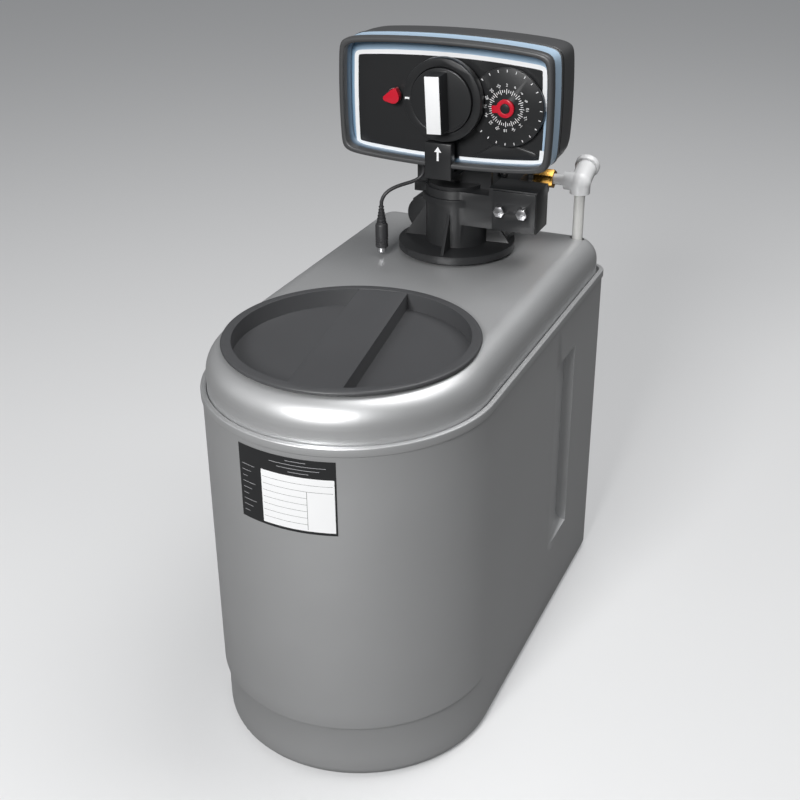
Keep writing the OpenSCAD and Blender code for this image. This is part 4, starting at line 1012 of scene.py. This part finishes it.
class SOFTENER_OT_controls(bpy.types.Operator):
    """Models the day ring, knob, button, wheel, pointer and time tab, with plain ticks and numbers"""
    bl_idname = "softener.controls"
    bl_label = "Controls"

    def execute(self, context):
        mould((
            ("day_ring", "day_dial", 0.7, "control_black", "dial", 2),
            ("knob_moulding", "program_knob", 1.6, "control_black", "knob", 3),
            ("knob_bar_strip", "knob_strip", 0.2, "print_white", "knob", 2),
            ("button_moulding", "set_button", 1.2, "red_gloss", "button", 3),
            ("wheel_moulding", "meter_wheel", 0.5, "control_black", "wheel", 2),
            ("pointer_moulding", "capacity_pointer", 0.5, "red_gloss", "pointer", 2),
            ("tab_moulding", "time_tab", 0.8, "control_black"),
        ))
        tall = sizes().print_height / MM
        self.ring_print(tall)
        self.wheel_print(tall)
        self.tab_arrow()
        return {"FINISHED"}

    def ring_print(self, tall):
        """A white index on the day ring."""
        spots = [face_spot(0, KNOB_Z, DIAL_LOW.y, r, INDEX_TURN) for r in INDEX_REACH]
        dress(ribbon("ring_index", spots, FORWARD, 1.6, tall), "print_white", "dial")

    def wheel_print(self, tall):
        """White ticks and numbers round the wheel's rim."""
        y = WHEEL_LOW.y + WHEEL_FACE
        ticks = []
        for i in range(INNER_TICKS):
            reach = LONG_TICK if i % 3 == 0 else SHORT_TICK
            spots = [face_spot(WHEEL_X, WHEEL_Z, y, r, 360 / INNER_TICKS * i) for r in reach]
            ticks.append(ribbon("tick", spots, FORWARD, 0.5, tall))
        for i in range(RIM_TICKS):
            spots = [face_spot(WHEEL_X, WHEEL_Z, y, r, 360 / RIM_TICKS * i) for r in RIM_TICK]
            ticks.append(ribbon("tick", spots, FORWARD, 0.6, tall))
        dress(join("wheel_ticks", ticks), "print_white", "wheel")
        marks = []
        for i in range(NUMBERS):
            turn = 360 / NUMBERS * i
            spot = face_spot(WHEEL_X, WHEEL_Z, y - 0.02, NUMBER_R, turn)
            marks.append(upright_text("mark", str(2 * i + 2), NUMBER_SIZE, spot, turn))
        dress(join("wheel_numbers", marks), "print_white", "wheel")

    def tab_arrow(self):
        """A plain white arrow on the time tab that points at the day ring."""
        tip = Vector((ARROW_X, TAB_LOW.y - 0.02, TAB_HIGH.z - ARROW_DROP))
        head = [tip + Vector((across, 0, up)) for across, up in ARROW_HEAD]
        arrow = loft("arrow_head", [head, [spot + FORWARD * ARROW_T for spot in head]])
        path = [tip - Vector((0, 0, down)) for down in ARROW_STEM]
        stem = ribbon("arrow_stem", path, FORWARD, 1.8, ARROW_T)
        dress(join("tab_arrow", [arrow, stem]), "print_white")


class SOFTENER_OT_valve(bpy.types.Operator):
    """Models the valve body, its injector cover and the hexagon bolts"""
    bl_idname = "softener.valve"
    bl_label = "Valve"

    def execute(self, context):
        mould((
            ("valve_moulding", "valve_body", 0.8, "valve_black"),
            ("injector_lid", "injector_cover", 0.6, "valve_black"),
            ("injector_bolts", "injector_screws", 0.35, "steel_plated"),
        ))
        return {"FINISHED"}


class SOFTENER_OT_plumbing(bpy.types.Operator):
    """Models the brine tee, its brass fitting and the ports at the back"""
    bl_idname = "softener.plumbing"
    bl_label = "Plumbing"

    def execute(self, context):
        mould((
            ("tee_moulding", "brine_tee", 0.7, "white_gloss"),
            ("tee_nut", "tee_collar", 0.9, "white_gloss"),
            ("brass_body", "brass_fitting", 0.5, "brass_turned"),
            ("inlet_spigot", "inlet_fitting", 0.7, "valve_black"),
            ("outlet_spigot", "outlet_fitting", 0.7, "valve_black"),
            ("drain_spigot", "drain_fitting", 0.6, "valve_black"),
            ("overflow_elbow", "overflow_fitting", 0.6, "valve_black"),
            ("overflow_ring", "overflow_nut", 0.5, "valve_black"),
            ("clip_rings", "port_clips", 0.3, "red_gloss"),
        ))
        return {"FINISHED"}


CAD_FINISH = {
    "silver_satin": "cabinet_cover",
    "head_grain": "tank_boot",
    "control_black": "face_panel",
    "valve_black": "plug_retainer drive_plate",
    "grey_plastic": "lower_strainer upper_strainer well_cap end_plug spacer_stack",
    "white_gloss": "riser_tube brine_well air_check float_rod brine_float drive_pinion crank_disc",
    "tube_pale": "brine_tube",
    "red_gloss": "injector_nozzle",
    "tank_wound": "resin_tank",
    "resin_amber": "resin_bed",
    "rubber_black": "overflow_seal neck_seal seal_stack",
    "brass_turned": "piston",
    "steel_plated": "piston_rod brine_stem drive_motor plate_screws head_screws",
}


# Each spring: its node, the way to its free end, wire and travel in millimetres, turns, joint
SPRINGS = {
    "stem_coil": ("brine_spring", Vector((0, 0, 1)), 0.9, 4.0, 4, "brine_stem_push"),
    "button_coil": ("button_spring", FORWARD, 0.7, 3.0, 2, "set_button_push"),
}
COIL_STEPS = 20
WIRE_SIDES = 8


def coil(name, base, way, tall, radius, wire, turns):
    """A spring of round wire, standing on base and wound round way."""
    side = way.orthogonal().normalized()
    other = way.cross(side)
    rings = []
    for i in range(turns * COIL_STEPS + 1):
        a = math.tau * i / COIL_STEPS
        out = side * math.cos(a) + other * math.sin(a)
        spot = base + out * radius + way * (wire + (tall - 2 * wire) * i / (turns * COIL_STEPS))
        rings.append([spot + (out * math.cos(b) + way * math.sin(b)) * wire / 2
                      for b in (math.tau * j / WIRE_SIDES for j in range(WIRE_SIDES))])
    return loft(name, rings, smooth=60.0)


class SOFTENER_OT_springs(bpy.types.Operator):
    """Models the brine stem's and the button's springs"""
    bl_idname = "softener.springs"
    bl_label = "Springs"

    def execute(self, context):
        for name, (node, way, wire, travel, turns, joint) in SPRINGS.items():
            low, high = box_mm(node)
            middle = (low + high) / 2
            tall = abs((high - low).dot(way)) + wire
            base = middle - way * tall / 2
            radius = (high.x - low.x - wire) / 2
            spring = coil(name, base, way, tall, radius, wire, turns)
            dress(spring, "steel_plated", replaces=[node])
            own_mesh(spring)
        return {"FINISHED"}


class SOFTENER_OT_solids(bpy.types.Operator):
    """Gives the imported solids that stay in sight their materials"""
    bl_idname = "softener.solids"
    bl_label = "Solids"

    def execute(self, context):
        for name, nodes in CAD_FINISH.items():
            for node in nodes.split():
                solid = NODES[node]
                solid.data.materials.clear()
                solid.data.materials.append(finish(name))
        return {"FINISHED"}


OPERATORS = (
    SOFTENER_OT_stage, SOFTENER_OT_lead, SOFTENER_OT_solids, SOFTENER_OT_cabinet, SOFTENER_OT_lid,
    SOFTENER_OT_rating_plate, SOFTENER_OT_valve, SOFTENER_OT_plumbing, SOFTENER_OT_springs, SOFTENER_OT_bezel,
    SOFTENER_OT_back_shell, SOFTENER_OT_panel_print, SOFTENER_OT_controls,
)


class SOFTENER_PT_panel(bpy.types.Panel):
    """Lists the softener's pieces in the sidebar"""
    bl_label = "Water softener"
    bl_idname = "SOFTENER_PT_panel"
    bl_space_type = "VIEW_3D"
    bl_region_type = "UI"
    bl_category = "Softener"

    def draw(self, context):
        scene = context.scene
        for piece in OPERATORS:
            self.layout.operator(piece.bl_idname)
        for group in (scene.softener_finishes, scene.softener_sizes, scene.softener_stage):
            for name in group.__annotations__:
                self.layout.prop(group, name)


CLASSES = (SoftenerFinishes, SoftenerSizes, SoftenerStage, *OPERATORS, SOFTENER_PT_panel)


def register():
    for made in CLASSES:
        bpy.utils.register_class(made)
    bpy.types.Scene.softener_finishes = PointerProperty(type=SoftenerFinishes)
    bpy.types.Scene.softener_sizes = PointerProperty(type=SoftenerSizes)
    bpy.types.Scene.softener_stage = PointerProperty(type=SoftenerStage)


def unregister():
    del bpy.types.Scene.softener_stage
    del bpy.types.Scene.softener_sizes
    del bpy.types.Scene.softener_finishes
    for made in reversed(CLASSES):
        bpy.utils.unregister_class(made)


def main():
    """Makes every piece in order."""
    register()
    for piece in OPERATORS:
        group, name = piece.bl_idname.split(".")
        getattr(getattr(bpy.ops, group), name)()
    deselect()
    bpy.context.view_layer.update()


if __name__ == "__main__":
    main()
